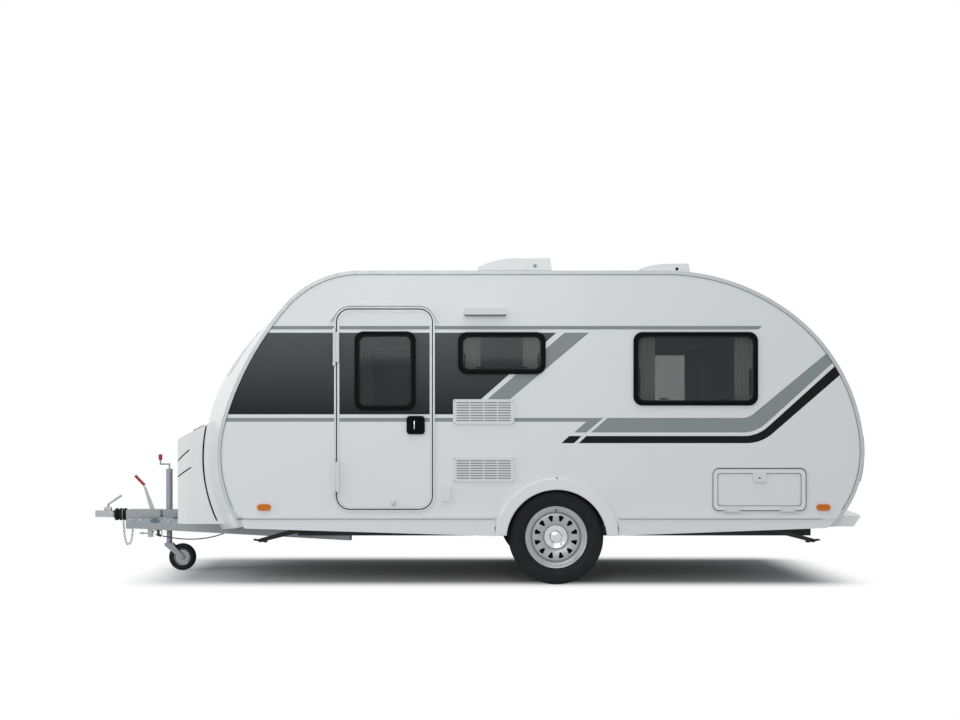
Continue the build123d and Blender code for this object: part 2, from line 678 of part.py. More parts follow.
head -= Pos(ball_x, 0, ball_z) * Sphere(ball_radius + ball_slack)
head -= rod((ball_x, 0, ball_z - 60), (ball_x, 0, ball_z), ball_radius + ball_slack)
nodes["coupling_head"] = head
c = coupling_handle
grip_path = FilletPolyline((c["foot_x"], head_z[1]), (c["foot_x"], c["bend_z"]),
                           (c["tip_x"], c["tip_z"]), radius=c["bend"])
grip_wire = Plane.XZ * grip_path
latch_handle = sweep(Plane(origin=grip_wire @ 0, z_dir=grip_wire % 0) * Circle(c["radius"]), path=grip_wire)

# Handbrake lever with its grip
b = handbrake
lever = make_face(Polyline((b["foot_x"] - b["foot_half"], p["z1"]), (b["foot_x"] + b["foot_half"], p["z1"]),
                           (b["top_x"] + b["top_half"], b["top_z"]), (b["top_x"] - b["top_half"], b["top_z"]),
                           close=True))
nodes["hand_levers"] = Compound([latch_handle, slab(lever, b["y"] - b["thick"] / 2, b["y"] + b["thick"] / 2)])
grip_start = Vector(b["top_x"], b["y"], b["top_z"] + b["grip_lift"])
grip_end = Vector(b["grip_x"], b["y"], b["grip_z"])
lever_grip = rod(grip_start, grip_end, b["grip"])

# Jockey wheel: clamp and outer tube on the drawbar, leg that slides, fork that swivels, wheel
j = jockey_x
plate_face = block(j - clamp_before, j + clamp_after, -clamp_plate, clamp_plate, floor_z, floor_z + plate_thick)
clamp = plate_face + slab(rounded(j - clamp_before + 6, j + clamp_after, floor_z, p["z1"], 6), -clamp_half, clamp_half)
clamp -= rod((j, 0, 0), (j, 0, reach), jockey_tube + seam)
nodes["jockey_clamp"] = clamp
tube = rod((j, 0, jockey_tube_span[0]), (j, 0, jockey_tube_span[1] + tube_cap), jockey_tube)
tube -= rod((j, 0, 0), (j, 0, jockey_tube_span[1]), jockey_bore)
leg = rod((j, 0, jockey_leg_foot), (j, 0, jockey_leg_top), jockey_bore - jockey_slack)
leg -= rod((j, 0, jockey_leg_foot + 10), (j, 0, jockey_leg_top + 1), jockey_bore - jockey_slack - leg_skin)
nodes["jockey_leg"] = leg
q = jockey_crank
crank_top = jockey_tube_span[1] + tube_cap
crank = rod((j, 0, crank_top), (j, 0, q["arm_z"] + q["radius"]), q["radius"])
crank += rod((j, 0, q["arm_z"]), (j - q["throw"], 0, q["arm_z"]), q["radius"])
crank += rod((j - q["throw"], 0, q["arm_z"] - q["radius"]), (j - q["throw"], 0, q["knob_z"][0]), q["radius"])
nodes["jockey_tube"] = tube + crank
knob = rod((j - q["throw"], 0, q["knob_z"][0]), (j - q["throw"], 0, q["knob_z"][1]), q["knob"])
nodes["red_grips"] = Compound([lever_grip, knob])
axle = (j + jockey_trail, jockey_radius)
fork_half = jockey_width / 2 + fork_gap
fork = block(j - jockey_tube - 4, j + jockey_tube, -fork_half - fork_side, fork_half + fork_side,
             jockey_leg_foot - fork_crown, jockey_leg_foot - seam)
cheek = make_hull((Pos(j, jockey_leg_foot - fork_crown / 2 - seam) * Rectangle(2 * jockey_tube, fork_crown)).edges()
                  + (Pos(*axle) * Circle(fork_boss)).edges())
for sign in (-1, 1):
    fork += slab(cheek, sign * fork_half, sign * (fork_half + fork_side))
fork += cross_rod(*axle, -fork_half - fork_side - 6, fork_half + fork_side + 6, fork_pin)
nodes["jockey_fork"] = fork
jockey_half = jockey_width / 2
rubber = make_face(Polyline(
    (jockey_rim, -jockey_half), (jockey_radius - jockey_round, -jockey_half), (jockey_radius, jockey_round - jockey_half),
    (jockey_radius, jockey_half - jockey_round), (jockey_radius - jockey_round, jockey_half), (jockey_rim, jockey_half),
    close=True))
hubcap = make_face(Polyline((fork_pin + hinge_slack, -jockey_half - 4), (20, -jockey_half - 4), (24, -14), (50, -14),
                            (jockey_rim - seam, -jockey_half + 3), (jockey_rim - seam, jockey_half - 3), (50, 14), (24, 14),
                            (20, jockey_half + 4), (fork_pin + hinge_slack, jockey_half + 4), close=True))
nodes["jockey_tyre"] = Pos(axle[0], 0, axle[1]) * revolve(rubber, Axis.Y)
nodes["jockey_rim"] = Pos(axle[0], 0, axle[1]) * revolve(hubcap, Axis.Y)

# Safety chain: oval links, every second one turned a quarter, from an eye on the bellows ring
# to an eye under the drawbar's nose plate
rib_swell = (pitch ** 2 / 4 + (bellows_radius - bellows_waist) ** 2) / (2 * (bellows_radius - bellows_waist))
ring_edge = pitch / 2 - chain_ring_width / 2
ring_inner = bellows_radius - rib_swell + math.sqrt(rib_swell ** 2 - ring_edge ** 2) + seam
ring_x = bellows_x0 + (bellows_ribs - 1) * pitch
ring_plane = Plane(origin=(ring_x - chain_ring_width / 2, 0, shaft_z), z_dir=(1, 0, 0))
eye_outer = chain_eye + chain_eye_rim
ring_eye_z = shaft_z - ring_inner - chain_ring_thick - chain_eye
plate_x = f["x"] + nose_plate["length"]
plate_low = f["z0"] - nose_plate["thick"]
plate_eye_x = plate_x - eye_outer
plate_eye_z = plate_low - chain_eye
chain_ring = extrude(ring_plane * (Circle(ring_inner + chain_ring_thick) - Circle(ring_inner)), amount=chain_ring_width)


def eye(x, z, top):
    tab = Pos(0, z) * Circle(eye_outer) + Pos(0, (z + top) / 2) * Rectangle(2 * eye_outer, top - z)
    tab -= Pos(0, z) * Circle(chain_eye)
    return extrude(Plane(origin=(x - chain_ring_width / 2, 0, 0), x_dir=(0, 1, 0), z_dir=(1, 0, 0)) * tab,
                   amount=chain_ring_width)


# Joints of a slack chain between two points (x, z), on the catenary of its length
def hanging_points(a, b, steps):
    length = sum(steps)
    run, rise = b.X - a.X, b.Y - a.Y
    narrow, wide = run / 50, run
    for _ in range(60):
        scale = (narrow + wide) / 2
        if 2 * scale * math.sinh(run / (2 * scale)) > math.sqrt(length ** 2 - rise ** 2):
            narrow = scale
        else:
            wide = scale
    low_x = (a.X + b.X) / 2 - scale * math.atanh(rise / length)
    first = scale * math.sinh((a.X - low_x) / scale)
    base = a.Y - math.hypot(scale, first)
    places = [first + sum(steps[:i]) for i in range(len(steps) + 1)]
    return [Vector(low_x + scale * math.asinh(t / scale), base + math.hypot(scale, t)) for t in places]


chain_ring += eye(ring_x, ring_eye_z, shaft_z - ring_inner - chain_ring_thick / 2)
nose = block(f["x"], plate_x, -f["y"], f["y"], plate_low, f["z0"])
nose = nose + eye(plate_eye_x, plate_eye_z, plate_low + nose_plate["thick"] / 2) - both_sides(beam_solid)
nodes["chain_mounts"] = Compound([chain_ring, nose])
wire_seat = chain_eye - link_wire_radius - 2 * seam
link_bend = link_breadth / 2 - link_wire_radius
link_straight = link_length / 2 - link_breadth / 2
turn = 180 / link_end_faces
link_rings = []
for end in (0, 180):
    for step in range(link_end_faces):
        way = math.radians(end - 90 + (step + 0.5) * turn)
        corner = link_bend / math.cos(math.radians(turn / 2))
        stretch = 1 / math.cos(math.radians(turn / 2))
        centre = Vector(math.copysign(link_straight, math.cos(math.radians(end))), 0)
        out = Vector(math.cos(way), math.sin(way))
        ring = []
        for k in range(6):
            around = math.radians(60 * k)
            place = centre + out * (corner + stretch * link_wire_radius * math.cos(around))
            ring.append((place.X, place.Y, link_wire_radius * math.sin(around)))
        link_rings.append(ring)
link_faces = []
for ring, after in zip(link_rings, link_rings[1:] + link_rings[:1]):
    for k in range(6):
        n = (k + 1) % 6
        link_faces.append(Face(Wire.make_polygon([ring[k], ring[n], after[n], after[k]])))
link = Solid(Shell(link_faces))
link_span = link_length - 2 * link_wire_radius
grasp = 2 * link_wire_radius + chain_play
link_steps = [link_span - 2 * grasp * (1 - i % 2) for i in range(chain_links)]
joints = hanging_points(Vector(ring_x, ring_eye_z - wire_seat - grasp),
                        Vector(plate_eye_x, plate_eye_z - wire_seat - grasp), link_steps)
links = []
for i, (start, end) in enumerate(zip(joints, joints[1:])):
    middle, lead = (start + end) / 2, end - start
    link_plane = Plane(origin=(middle.X, 0, middle.Y), x_dir=(lead.X, 0, lead.Y), z_dir=(0, 1, 0))
    links.append(link_plane * Rot((i % 2) * 90, 0, 0) * link)
nodes["safety_chain"] = Compound(links)

# Corner steadies, stowed against the floor, feet towards the body's ends
brackets = []
for name, x, sign, y in steady_table:
    half = steady_width / 2
    tilt = math.radians(steady_angle)
    foot = (x + sign * steady_reach * math.cos(tilt), steady_z - steady_reach * math.sin(tilt))
    web = make_hull((Pos(x, steady_z) * Circle(steady_eye)).edges() + (Pos(*foot) * Circle(steady_toe)).edges())
    leg = slab(web, y - half, y + half)
    hollow = make_hull((Pos(x + sign * 2 * steady_eye * math.cos(tilt), steady_z - 12) * Circle(steady_toe)).edges()
                       + (Pos(foot[0], foot[1] - 12) * Circle(steady_toe)).edges())
    leg -= slab(hollow, y - half + rail_thick, y + half - rail_thick)
    shoe = Rot(0, -sign * steady_shoe_tilt, 0) * Box(steady_shoe, steady_width + 24, 8)
    leg += Pos(foot[0], y, foot[1] - 2) * shoe
    leg -= cross_rod(x, steady_z, y - half - 1, y + half + 1, steady_pin + hinge_slack)
    nodes[f"steady_leg_{name}"] = leg
    bracket = cross_rod(x, steady_z, y - half - 14, y + half + 14, steady_pin)
    for away in (-1, 1):
        ear = slab(rounded(x - steady_eye, x + steady_eye, steady_z - steady_eye, floor_z, 6),
                   y + away * (half + 6), y + away * (half + 11))
        bracket += ear
    brackets.append(bracket)
nodes["steady_brackets"] = Compound(brackets)

# Gas locker: a moulded lid on the nose and the tray it closes on
def lid_solid(skin, drop):
    n = lid
    face_x, brow_z, low_z = n["front_x"] + skin, n["front_z"] - skin, n["bottom_z"] - drop
    side_face = make_face(Polyline(
        (front_seam_x, low_z), (face_x, low_z), (face_x, brow_z),
        (front_seam_x, brow_z + n["slope"] * (front_seam_x - face_x)), close=True))
    side_face = fillet(side_face.vertices().sort_by(Axis.X)[:2].sort_by(Axis.Y)[-1], n["brow"])
    half, nose_x = n["half"] - skin, face_x + n["bow"]
    nose_half = half - n["nose"]
    plan_face = make_face([
        Polyline((nose_x, -nose_half), (n["cheek_x"], -half), (front_seam_x, -half),
                 (front_seam_x, half), (n["cheek_x"], half), (nose_x, nose_half)),
        ThreePointArc((nose_x, nose_half), (face_x, 0), (nose_x, -nose_half))])
    plan_face = fillet(plan_face.vertices().sort_by(Axis.X)[:2], n["round"])
    return slab(side_face, -half_width, half_width) & extrude(plan_face, amount=reach)


ahead = block(-reach, front_seam_x, -reach, reach, 0, reach)
panel_front = body_loft(-seam) & ahead
lid_core = lid_solid(lid_groove["depth"], 100)
groove_end = lid["front_x"] + lid_groove["run"]
lid_form = lid_solid(0, 0)
for z, tilt in groove_table:
    bar = Pos(lid["front_x"], z) * Rot(0, 0, tilt) * Rectangle(2 * lid_groove["run"], lid_groove["width"])
    bar = bar & Pos(groove_end - reach / 2, 0) * Rectangle(reach, reach)
    lid_form -= slab(bar, -half_width, half_width) - lid_core
nodes["gas_locker_lid"] = lid_form - (body_loft(-lid_stand) & ahead) - lid_solid(lid_skin, 100)
collar = (lid_solid(0, 100) & body_loft(lid_gap - lid_stand) & ahead) - panel_front - lid_solid(lid_skin, 200)
tray = lid_solid(0, 100) & block(-reach, reach, -reach, reach, floor_z, lid["bottom_z"] - seam)
nodes["gas_locker_tray"] = tray - panel_front + (collar & block(-reach, reach, -reach, reach, floor_z, reach))

# Tail: bumper and lamp clusters wrap the rear panel
wrap = body_loft(-bumper["out"]) - body_loft(-seam)
nodes["rear_bumper"] = wrap & block(bumper["x0"], reach, -reach, reach, bumper["z0"], bumper["z1"])
lamp_wrap = body_loft(-tail_lamp["proud"]) - body_loft(-seam)
lamps = lamp_wrap & block(rear_seam_x, reach, -tail_lamp["y"] - tail_lamp["width"] / 2,
                          -tail_lamp["y"] + tail_lamp["width"] / 2, tail_lamp["z0"], tail_lamp["z1"])
nodes["tail_lamps"] = both_sides(lamps)

# Furniture seen through the glass
inside = body_loft(wall + seam, 0, half_width - wall - seam)
u = kitchen
unit = block(u["x0"], u["x1"], -half_width + wall + seam, -u["depth_y"], box_low, u["top"])
unit -= block(u["x0"] + panel, u["x1"] - panel, -half_width, -u["depth_y"] - panel, 0, u["top"] - panel)
arch_clear = slab(Pos(wheel_x, arch_z) * Circle(box_radius + seam), -half_width, -box_inner + seam)
unit -= arch_clear
s = bench
seat_top = block(s["x0"], reach, -half_width, half_width, s["top"] - panel, s["top"])
seat_top += block(s["x0"], s["x0"] + panel, -half_width, half_width, box_low, s["top"])
nodes["furniture"] = Compound([unit, seat_top & inside])
curtains = []
for side, x0, x1, z0, z1 in window_table:
    for start, end in ((x0 + window_rim, x0 + curtain_width), (x1 - curtain_width, x1 - window_rim)):
        steps = curtain_folds * 2
        wave = [(start + (end - start) * i / steps, side * (half_width - wall - seam - curtain_thick / 2
                 - curtain_depth * (i % 2))) for i in range(steps + 1)]
        strip = offset(Polyline(*wave), curtain_thick / 2)
        curtains.append(extrude(Plane.XY.offset(z0) * make_face(strip), amount=z1 - z0))
nodes["curtains"] = Compound(curtains)

# Cable that hangs between the drawbar hooks and the front tie
cable_runs = [Vector(*b) - Vector(*a) for a, b in zip(cable_points, cable_points[1:])]
cable_radii = [0.45 * min(a.length, b.length) / math.tan(math.radians(a.get_angle(b)) / 2)
               for a, b in zip(cable_runs, cable_runs[1:])]
print("cable radii", [round(r) for r in cable_radii])
cable_path = FilletPolyline(*cable_points, radius=cable_radii)
cable = sweep(Plane(origin=cable_path @ 0, z_dir=cable_path % 0) * Circle(cable_radius), path=cable_path)
print("cable volume over section times length", cable.volume / (math.pi * cable_radius ** 2 * cable_path.length))
nodes["trailer_cable"] = cable
first, last = Vector(*cable_points[0]), Vector(*cable_points[-1])
into = cable_path % 1
gland = rod(last, last + into * 2 * (tie_front_x - last.X), gland_radius) - block(
    tie_front_x, reach, -reach, reach, 0, reach)
hook = rod(first - (cable_path % 0) * hook_length, first, gland_radius)
hook += block(first.X - hook_length, first.X - hook_length / 3, first.Y - hook_thick / 2, first.Y + hook_thick / 2,
              first.Z, floor_z) - beam_solid
nodes["cable_fittings"] = Compound([gland, hook])

for name, shape in nodes.items():
    assert shape.is_valid, name

os.makedirs("parts", exist_ok=True)
for name, shape in nodes.items():
    export_step(shape, f"parts/{name}.step")
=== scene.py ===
import math

import bpy
from mathutils import Matrix, Vector


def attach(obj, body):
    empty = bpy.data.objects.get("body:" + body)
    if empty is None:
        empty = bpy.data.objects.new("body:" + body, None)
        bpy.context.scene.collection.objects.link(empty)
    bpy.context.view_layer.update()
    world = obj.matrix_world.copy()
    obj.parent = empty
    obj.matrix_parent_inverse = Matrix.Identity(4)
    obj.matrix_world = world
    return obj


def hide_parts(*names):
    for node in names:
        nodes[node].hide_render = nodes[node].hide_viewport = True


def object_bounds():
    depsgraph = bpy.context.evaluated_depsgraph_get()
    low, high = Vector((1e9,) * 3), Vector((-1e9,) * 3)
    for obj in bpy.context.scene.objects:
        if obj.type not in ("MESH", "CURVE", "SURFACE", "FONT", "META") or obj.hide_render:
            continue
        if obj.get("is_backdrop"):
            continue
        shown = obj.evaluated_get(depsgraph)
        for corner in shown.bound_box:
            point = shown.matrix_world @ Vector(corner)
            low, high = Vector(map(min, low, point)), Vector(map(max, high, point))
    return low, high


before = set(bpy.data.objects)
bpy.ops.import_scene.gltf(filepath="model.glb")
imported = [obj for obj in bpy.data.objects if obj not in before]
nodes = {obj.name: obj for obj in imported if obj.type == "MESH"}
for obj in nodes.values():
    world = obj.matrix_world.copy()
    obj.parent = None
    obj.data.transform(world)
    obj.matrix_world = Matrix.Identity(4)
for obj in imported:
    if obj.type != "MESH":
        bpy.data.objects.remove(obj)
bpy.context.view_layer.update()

scene = bpy.context.scene
scene.view_settings.view_transform = "Standard"
print("frame loaded with", len(nodes), "pieces")


# Camera where the photograph was taken from, level and square to the door side
photoView = {"place": (-0.0775, -10.375, 1.0), "lens": 52.2, "shift": (0.026, 0.079), "farthest": 200}


def clearSelection():
    if bpy.context.object and bpy.context.object.mode != "OBJECT":
        bpy.ops.object.mode_set(mode="OBJECT")
    bpy.ops.object.select_all(action="DESELECT")


def choose(piece):
    clearSelection()
    piece.select_set(True)
    bpy.context.view_layer.objects.active = piece


clearSelection()
bpy.ops.object.camera_add(location=photoView["place"], rotation=(math.pi / 2, 0, 0))
camera = bpy.context.object
camera.data.lens = photoView["lens"]
camera.data.shift_x, camera.data.shift_y = photoView["shift"]
camera.data.clip_end = photoView["farthest"]
scene.camera = camera
print("camera placed")


# Shading helpers

def linear(hexColour):
    parts = [int(hexColour[i:i + 2], 16) / 255 for i in (1, 3, 5)]
    return tuple(p / 12.92 if p <= 0.04045 else ((p + 0.055) / 1.055) ** 2.4 for p in parts) + (1.0,)


def addNode(tree, kind, inputs=None, **settings):
    made = tree.nodes.new(kind)
    for name, value in settings.items():
        setattr(made, name, value)
    for socket, value in (inputs or {}).items():
        if isinstance(value, bpy.types.NodeSocket):
            tree.links.new(value, made.inputs[socket])
        else:
            made.inputs[socket].default_value = value
    return made


def newMaterial(name, **sockets):
    material = bpy.data.materials.new(name)
    material.use_nodes = True
    tree = material.node_tree
    shader = tree.nodes["Principled BSDF"]
    for socket, value in sockets.items():
        shader.inputs[socket.replace("_", " ")].default_value = value
    place = addNode(tree, "ShaderNodeTexCoord").outputs["Object"]
    return material, tree, shader, place


def paintBetween(tree, shader, share, colours):
    # base colour that goes from the first colour to the second
    first, second = (linear(colour) for colour in colours)
    mix = addNode(tree, "ShaderNodeMix", {0: share, 6: first, 7: second}, data_type="RGBA")
    tree.links.new(mix.outputs[2], shader.inputs["Base Color"])


def raiseRelief(tree, shader, pattern, height):
    # relief of that height in mm
    relief = addNode(tree, "ShaderNodeBump", {"Height": pattern, "Distance": height / 1000, "Strength": 0.6})
    tree.links.new(relief.outputs[0], shader.inputs["Normal"])


def wear(tree, shader, place, colours, size, rough, bump=None, distort=0.0):
    # colour and gloss that drift over patches of that size in mm, and a fine relief of (grain mm, height mm)
    patch = addNode(tree, "ShaderNodeTexNoise", {"Vector": place, "Scale": 1000 / size, "Detail": 4.0,
                                                 "Distortion": distort})
    paintBetween(tree, shader, patch.outputs["Fac"], colours)
    gloss = addNode(tree, "ShaderNodeMapRange", {"Value": patch.outputs["Fac"], "From Min": 0.3, "From Max": 0.7,
                                                 "To Min": rough[0], "To Max": rough[1]})
    tree.links.new(gloss.outputs[0], shader.inputs["Roughness"])
    if bump:
        grain = addNode(tree, "ShaderNodeTexNoise", {"Vector": place, "Scale": 1000 / bump[0], "Detail": 2.0})
        raiseRelief(tree, shader, grain.outputs["Fac"], bump[1])


def wornMaterial(name, colours, size, rough, bump=None, distort=0.0, **sockets):
    material, *parts = newMaterial(name, **sockets)
    wear(*parts, colours, size, rough, bump, distort)
    return material


# White lacquered sheet of the sandwich walls: glossy, with a faint orange peel about 6 mm across
whiteLacquer = wornMaterial("lacquered_aluminium_sheet", ("#e8eaeb", "#e4e6e7"), 700, (0.29, 0.32), (6, 0.02),
                            IOR=1.5, Coat_Weight=0.2)

# Moulded white shells of the front, rear and fairings: thicker glossy gel coat, a touch brighter
gelCoat = wornMaterial("glass_fibre_gel_coat", ("#ebecec", "#e6e8e8"), 600, (0.29, 0.34), (9, 0.03),
                       IOR=1.5, Coat_Weight=0.3)

# White moulded ABS of vents, hatch frame and rooflights: satin with a fine spark texture
whiteAbs = wornMaterial("moulded_white_abs", ("#e3e4e4", "#dcdedd"), 120, (0.38, 0.46), (1.2, 0.02), IOR=1.53)

# Anodised aluminium of the edge trim: satin grey with drawing lines
anodised = wornMaterial("anodised_aluminium", ("#bfc3c5", "#b3b8ba"), 60, (0.34, 0.46), (1.5, 0.02), 2.0,
                        Metallic=0.5)

# Silver lacquered aluminium of the door and hatch frames: pale satin
silverLacquer = wornMaterial("silver_lacquered_aluminium", ("#d3d6d8", "#c8cbcd"), 80, (0.3, 0.4), (1.5, 0.01),
                             Metallic=0.25)

# Black moulded frame of windows and handle: satin, slightly chalky
blackFrame = wornMaterial("black_moulded_asa", ("#050606", "#090a0a"), 40, (0.3, 0.42), (1.0, 0.03),
                          IOR=1.5, Specular_IOR_Level=0.05)

# Smoke tinted acrylic panes: dark, glossy and half clear
tintedAcrylic = wornMaterial("tinted_acrylic", ("#262b2d", "#2e3335"), 300, (0.03, 0.06), IOR=1.49, Alpha=0.4)

# Hot dip galvanised steel: crystals about 8 mm across in slightly different greys
galvanised, tree, shader, place = newMaterial("hot_dip_galvanised_steel", Metallic=0.8)
crystal = addNode(tree, "ShaderNodeTexVoronoi", {"Vector": place, "Scale": 120.0})
paintBetween(tree, shader, crystal.outputs["Color"], ("#9a9fa2", "#8d9295"))
gloss = addNode(tree, "ShaderNodeMapRange", {"Value": crystal.outputs["Color"], "To Min": 0.4, "To Max": 0.5})
tree.links.new(gloss.outputs[0], shader.inputs["Roughness"])

# Black dipped steel of chassis, axle and steadies: dull with a grainy coat
blackSteel = wornMaterial("black_dipped_steel", ("#1d1e1f", "#2b2c2d"), 50, (0.45, 0.6), (2, 0.05),
                          Metallic=0.2)

# Bright zinc plate on chain, coupling and rods
zincPlate = wornMaterial("zinc_plated_steel", ("#b8bcbf", "#9a9ea0"), 25, (0.28, 0.42), (1.5, 0.02),
                         Metallic=0.9)

# Tyre rubber: matt black with a dusty bloom
tyreRubber = wornMaterial("tyre_rubber", ("#151617", "#212324"), 70, (0.6, 0.75), (1.2, 0.05),
                          IOR=1.5, Specular_IOR_Level=0.2)

# Moulded rubber of the bellows
softRubber = wornMaterial("moulded_epdm_rubber", ("#101111", "#1a1a1b"), 30, (0.5, 0.62), (1.0, 0.03),
                          IOR=1.5, Specular_IOR_Level=0.12)

# Silver stove enamel on the wheels: fine metallic flake
wheelEnamel = wornMaterial("silver_stove_enamel", ("#a9acae", "#9b9ea0"), 20, (0.3, 0.38), (0.8, 0.01),
                           Metallic=0.55, Coat_Weight=0.4)

# Polished chrome on the wheel's middle
chrome = wornMaterial("chrome_plate", ("#cfd1d3", "#bfc1c3"), 40, (0.1, 0.18), Metallic=1.0)

# Brake drums seen through the wheels: dark cast iron
castIron = wornMaterial("cast_iron", ("#0d0d0d", "#171716"), 12, (0.6, 0.75), (1.5, 0.08),
                        Metallic=0.3, Specular_IOR_Level=0.1)

# Lamp lenses: dyed polycarbonate with slanting ribs about 16 mm apart
lenses = {}
for colourName, hexColours in {"amber": ("#e07a08", "#c96604"), "red": ("#a3161a", "#8c0f13")}.items():
    lens, tree, shader, place = newMaterial(colourName + "_polycarbonate_lens", IOR=1.58,
                                            Specular_IOR_Level=0.25)
    wear(tree, shader, place, hexColours, 30, (0.12, 0.2))
    ribs = addNode(tree, "ShaderNodeTexWave", {"Vector": place, "Scale": 250 / (2 * math.pi)},
                   bands_direction="DIAGONAL")
    raiseRelief(tree, shader, ribs.outputs["Fac"], 0.6)
    lenses[colourName] = lens

# Tail lamps, by height in metres: red above and below, a clear band and an amber one between
lampBands = ((0.0, "#a3161a"), (0.808, "#cfd2d3"), (0.87, "#d2780c"), (0.935, "#a3161a"))
height = addNode(tree, "ShaderNodeSeparateXYZ", {0: place})
bands = addNode(tree, "ShaderNodeValToRGB", {"Fac": height.outputs["Z"]})
bands.color_ramp.interpolation = "CONSTANT"
for spot, colour in lampBands:
    stop = bands.color_ramp.elements[0] if spot == 0.0 else bands.color_ramp.elements.new(spot)
    stop.position = spot
    stop.color = linear(colour)
bands.color_ramp.elements[-1].color = linear(lampBands[-1][1])
tree.links.new(bands.outputs["Color"], shader.inputs["Base Color"])

# Red moulded grips
redPlastic = wornMaterial("red_moulded_pvc", ("#a81a1e", "#8f1418"), 25, (0.35, 0.48), (1.0, 0.03), IOR=1.5)

# Cabin joinery: dark walnut foil with grain along X about 6 mm apart
walnut, tree, shader, place = newMaterial("walnut_foil", IOR=1.5)
stretch = addNode(tree, "ShaderNodeMapping", {"Vector": place, "Scale": (0.08, 1.0, 1.0)})
grain = addNode(tree, "ShaderNodeTexNoise", {"Vector": stretch.outputs[0], "Scale": 160.0, "Detail": 5.0})
paintBetween(tree, shader, grain.outputs["Fac"], ("#4a2f1a", "#7a4f2c"))

# Floor ply with a dark sealed underside
sealedPly = wornMaterial("sealed_plywood", ("#3a3632", "#4a443d"), 90, (0.6, 0.75), (2, 0.1), 3.0, IOR=1.5)

# Curtain cloth: plain weave, threads drawn 3 mm apart to show
curtainCloth = wornMaterial("woven_polyester", ("#d9d9d5", "#c8c8c4"), 25, (0.8, 0.95), (3, 0.2),
                            Sheen_Weight=0.3)

# Black PVC sheath of the trailer cable
cableSheath = wornMaterial("black_pvc_sheath", ("#17181a", "#222426"), 20, (0.4, 0.5), (1, 0.02), IOR=1.52)
print("materials made:", len(bpy.data.materials))


# Each CAD piece gets the finish of the real one
finishes = {
    whiteLacquer: ("side_wall_door", "side_wall_far", "door_leaf", "service_door", "roof_panel", "skirts"),
    gelCoat: ("front_panel", "rear_panel", "wheel_spats", "rear_bumper", "gas_locker_lid", "gas_locker_tray"),
    whiteAbs: ("wall_fittings", "rooflight_curbs", "rooflight_large_lid", "rooflight_small_lid", "door_hinges",
               "service_door_fittings"),
    anodised: ("edge_trims",),
    silverLacquer: ("door_frames",),
    blackFrame: ("window_frames", "door_window_frame", "door_handle"),
    tintedAcrylic: ("window_panes", "door_window_pane"),
    galvanised: ("drawbar_beams", "overrun_housing", "jockey_clamp", "jockey_tube", "jockey_leg", "jockey_fork"),
    zincPlate: ("coupling_head", "hand_levers", "safety_chain", "chain_mounts"),
    blackSteel: ("chassis_rails", "axle", "steady_brackets", "cable_fittings",
                 "steady_leg_front_door_side", "steady_leg_front_far_side", "steady_leg_rear_door_side",
                 "steady_leg_rear_far_side"),
    softRubber: ("bellows",),
    tyreRubber: ("tyre_door_side", "tyre_far_side", "jockey_tyre"),
    wheelEnamel: ("rim_door_side", "rim_far_side", "jockey_rim"),
    castIron: ("hub_door_side", "hub_far_side"),
    lenses["amber"]: ("side_markers",),
    lenses["red"]: ("tail_lamps",),
    redPlastic: ("red_grips",),
    walnut: ("furniture",),
    sealedPly: ("floor_panel",),
    curtainCloth: ("curtains",),
    cableSheath: ("trailer_cable",),
}
for finish, names in finishes.items():
    for name in names:
        nodes[name].data.materials.clear()
        nodes[name].data.materials.append(finish)
bare = [name for name in nodes if not any(name in names for names in finishes.values())]
print("finishes given, without one:", bare)


# Trailer cable hanging under the drawbar: the same route as its solid
trailerCable = {
    "route": ((-2.243, -0.12, 0.264), (-2.175, -0.12, 0.251), (-2.105, -0.12, 0.242), (-2.033, -0.12, 0.238),
              (-1.962, -0.12, 0.241), (-1.893, -0.12, 0.250), (-1.826, -0.12, 0.265), (-1.765, -0.12, 0.288),
              (-1.710, -0.12, 0.318)),
    "diameter": 0.008,
    "length": 0.549,
}
clearSelection()
line = bpy.data.curves.new("trailerCableLine", "CURVE")
line.dimensions = "3D"
line.bevel_depth = trailerCable["diameter"] / 2
line.bevel_resolution = 4
line.use_fill_caps = True
spline = line.splines.new("NURBS")
spline.points.add(len(trailerCable["route"]) - 1)
for point, spot in zip(spline.points, trailerCable["route"]):
    point.co = (*spot, 1)
spline.order_u = 3
spline.use_endpoint_u = True
spline.resolution_u = 12
cable = bpy.data.objects.new("trailerCable", line)
scene.collection.objects.link(cable)
line.materials.append(cableSheath)
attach(cable, "caravan")
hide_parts("trailer_cable")
print("trailer cable hung")


# Modelling helpers
bothSides = ((-1, "DoorSide"), (1, "FarSide"))


def keepPiece(piece, name, finish, body):
    choose(piece)
    bpy.ops.object.transform_apply(location=True, rotation=True, scale=True)
    piece.name = name
    piece.data.materials.clear()
    piece.data.materials.append(finish)
    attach(piece, body)


def editMesh(piece):
    choose(piece)
    bpy.ops.object.mode_set(mode="EDIT")
    bpy.ops.mesh.select_all(action="SELECT")


def closeMesh():
    # every normal turned outward, and back to object mode
    bpy.ops.mesh.select_all(action="SELECT")
    bpy.ops.mesh.normals_make_consistent(inside=False)
    bpy.ops.object.mode_set(mode="OBJECT")


def pushOut(way):
    bpy.ops.mesh.extrude_region_move(TRANSFORM_OT_translate={"value": way})


def applyModifier(piece, kind, **settings):
    modifier = piece.modifiers.new(kind.lower(), kind)
    for name, value in settings.items():
        setattr(modifier, name, value)
    choose(piece)
    bpy.ops.object.modifier_apply(modifier=modifier.name)


def cutWith(piece, tool, operation="DIFFERENCE"):
    applyModifier(piece, "BOOLEAN", object=tool, operation=operation, solver="EXACT")


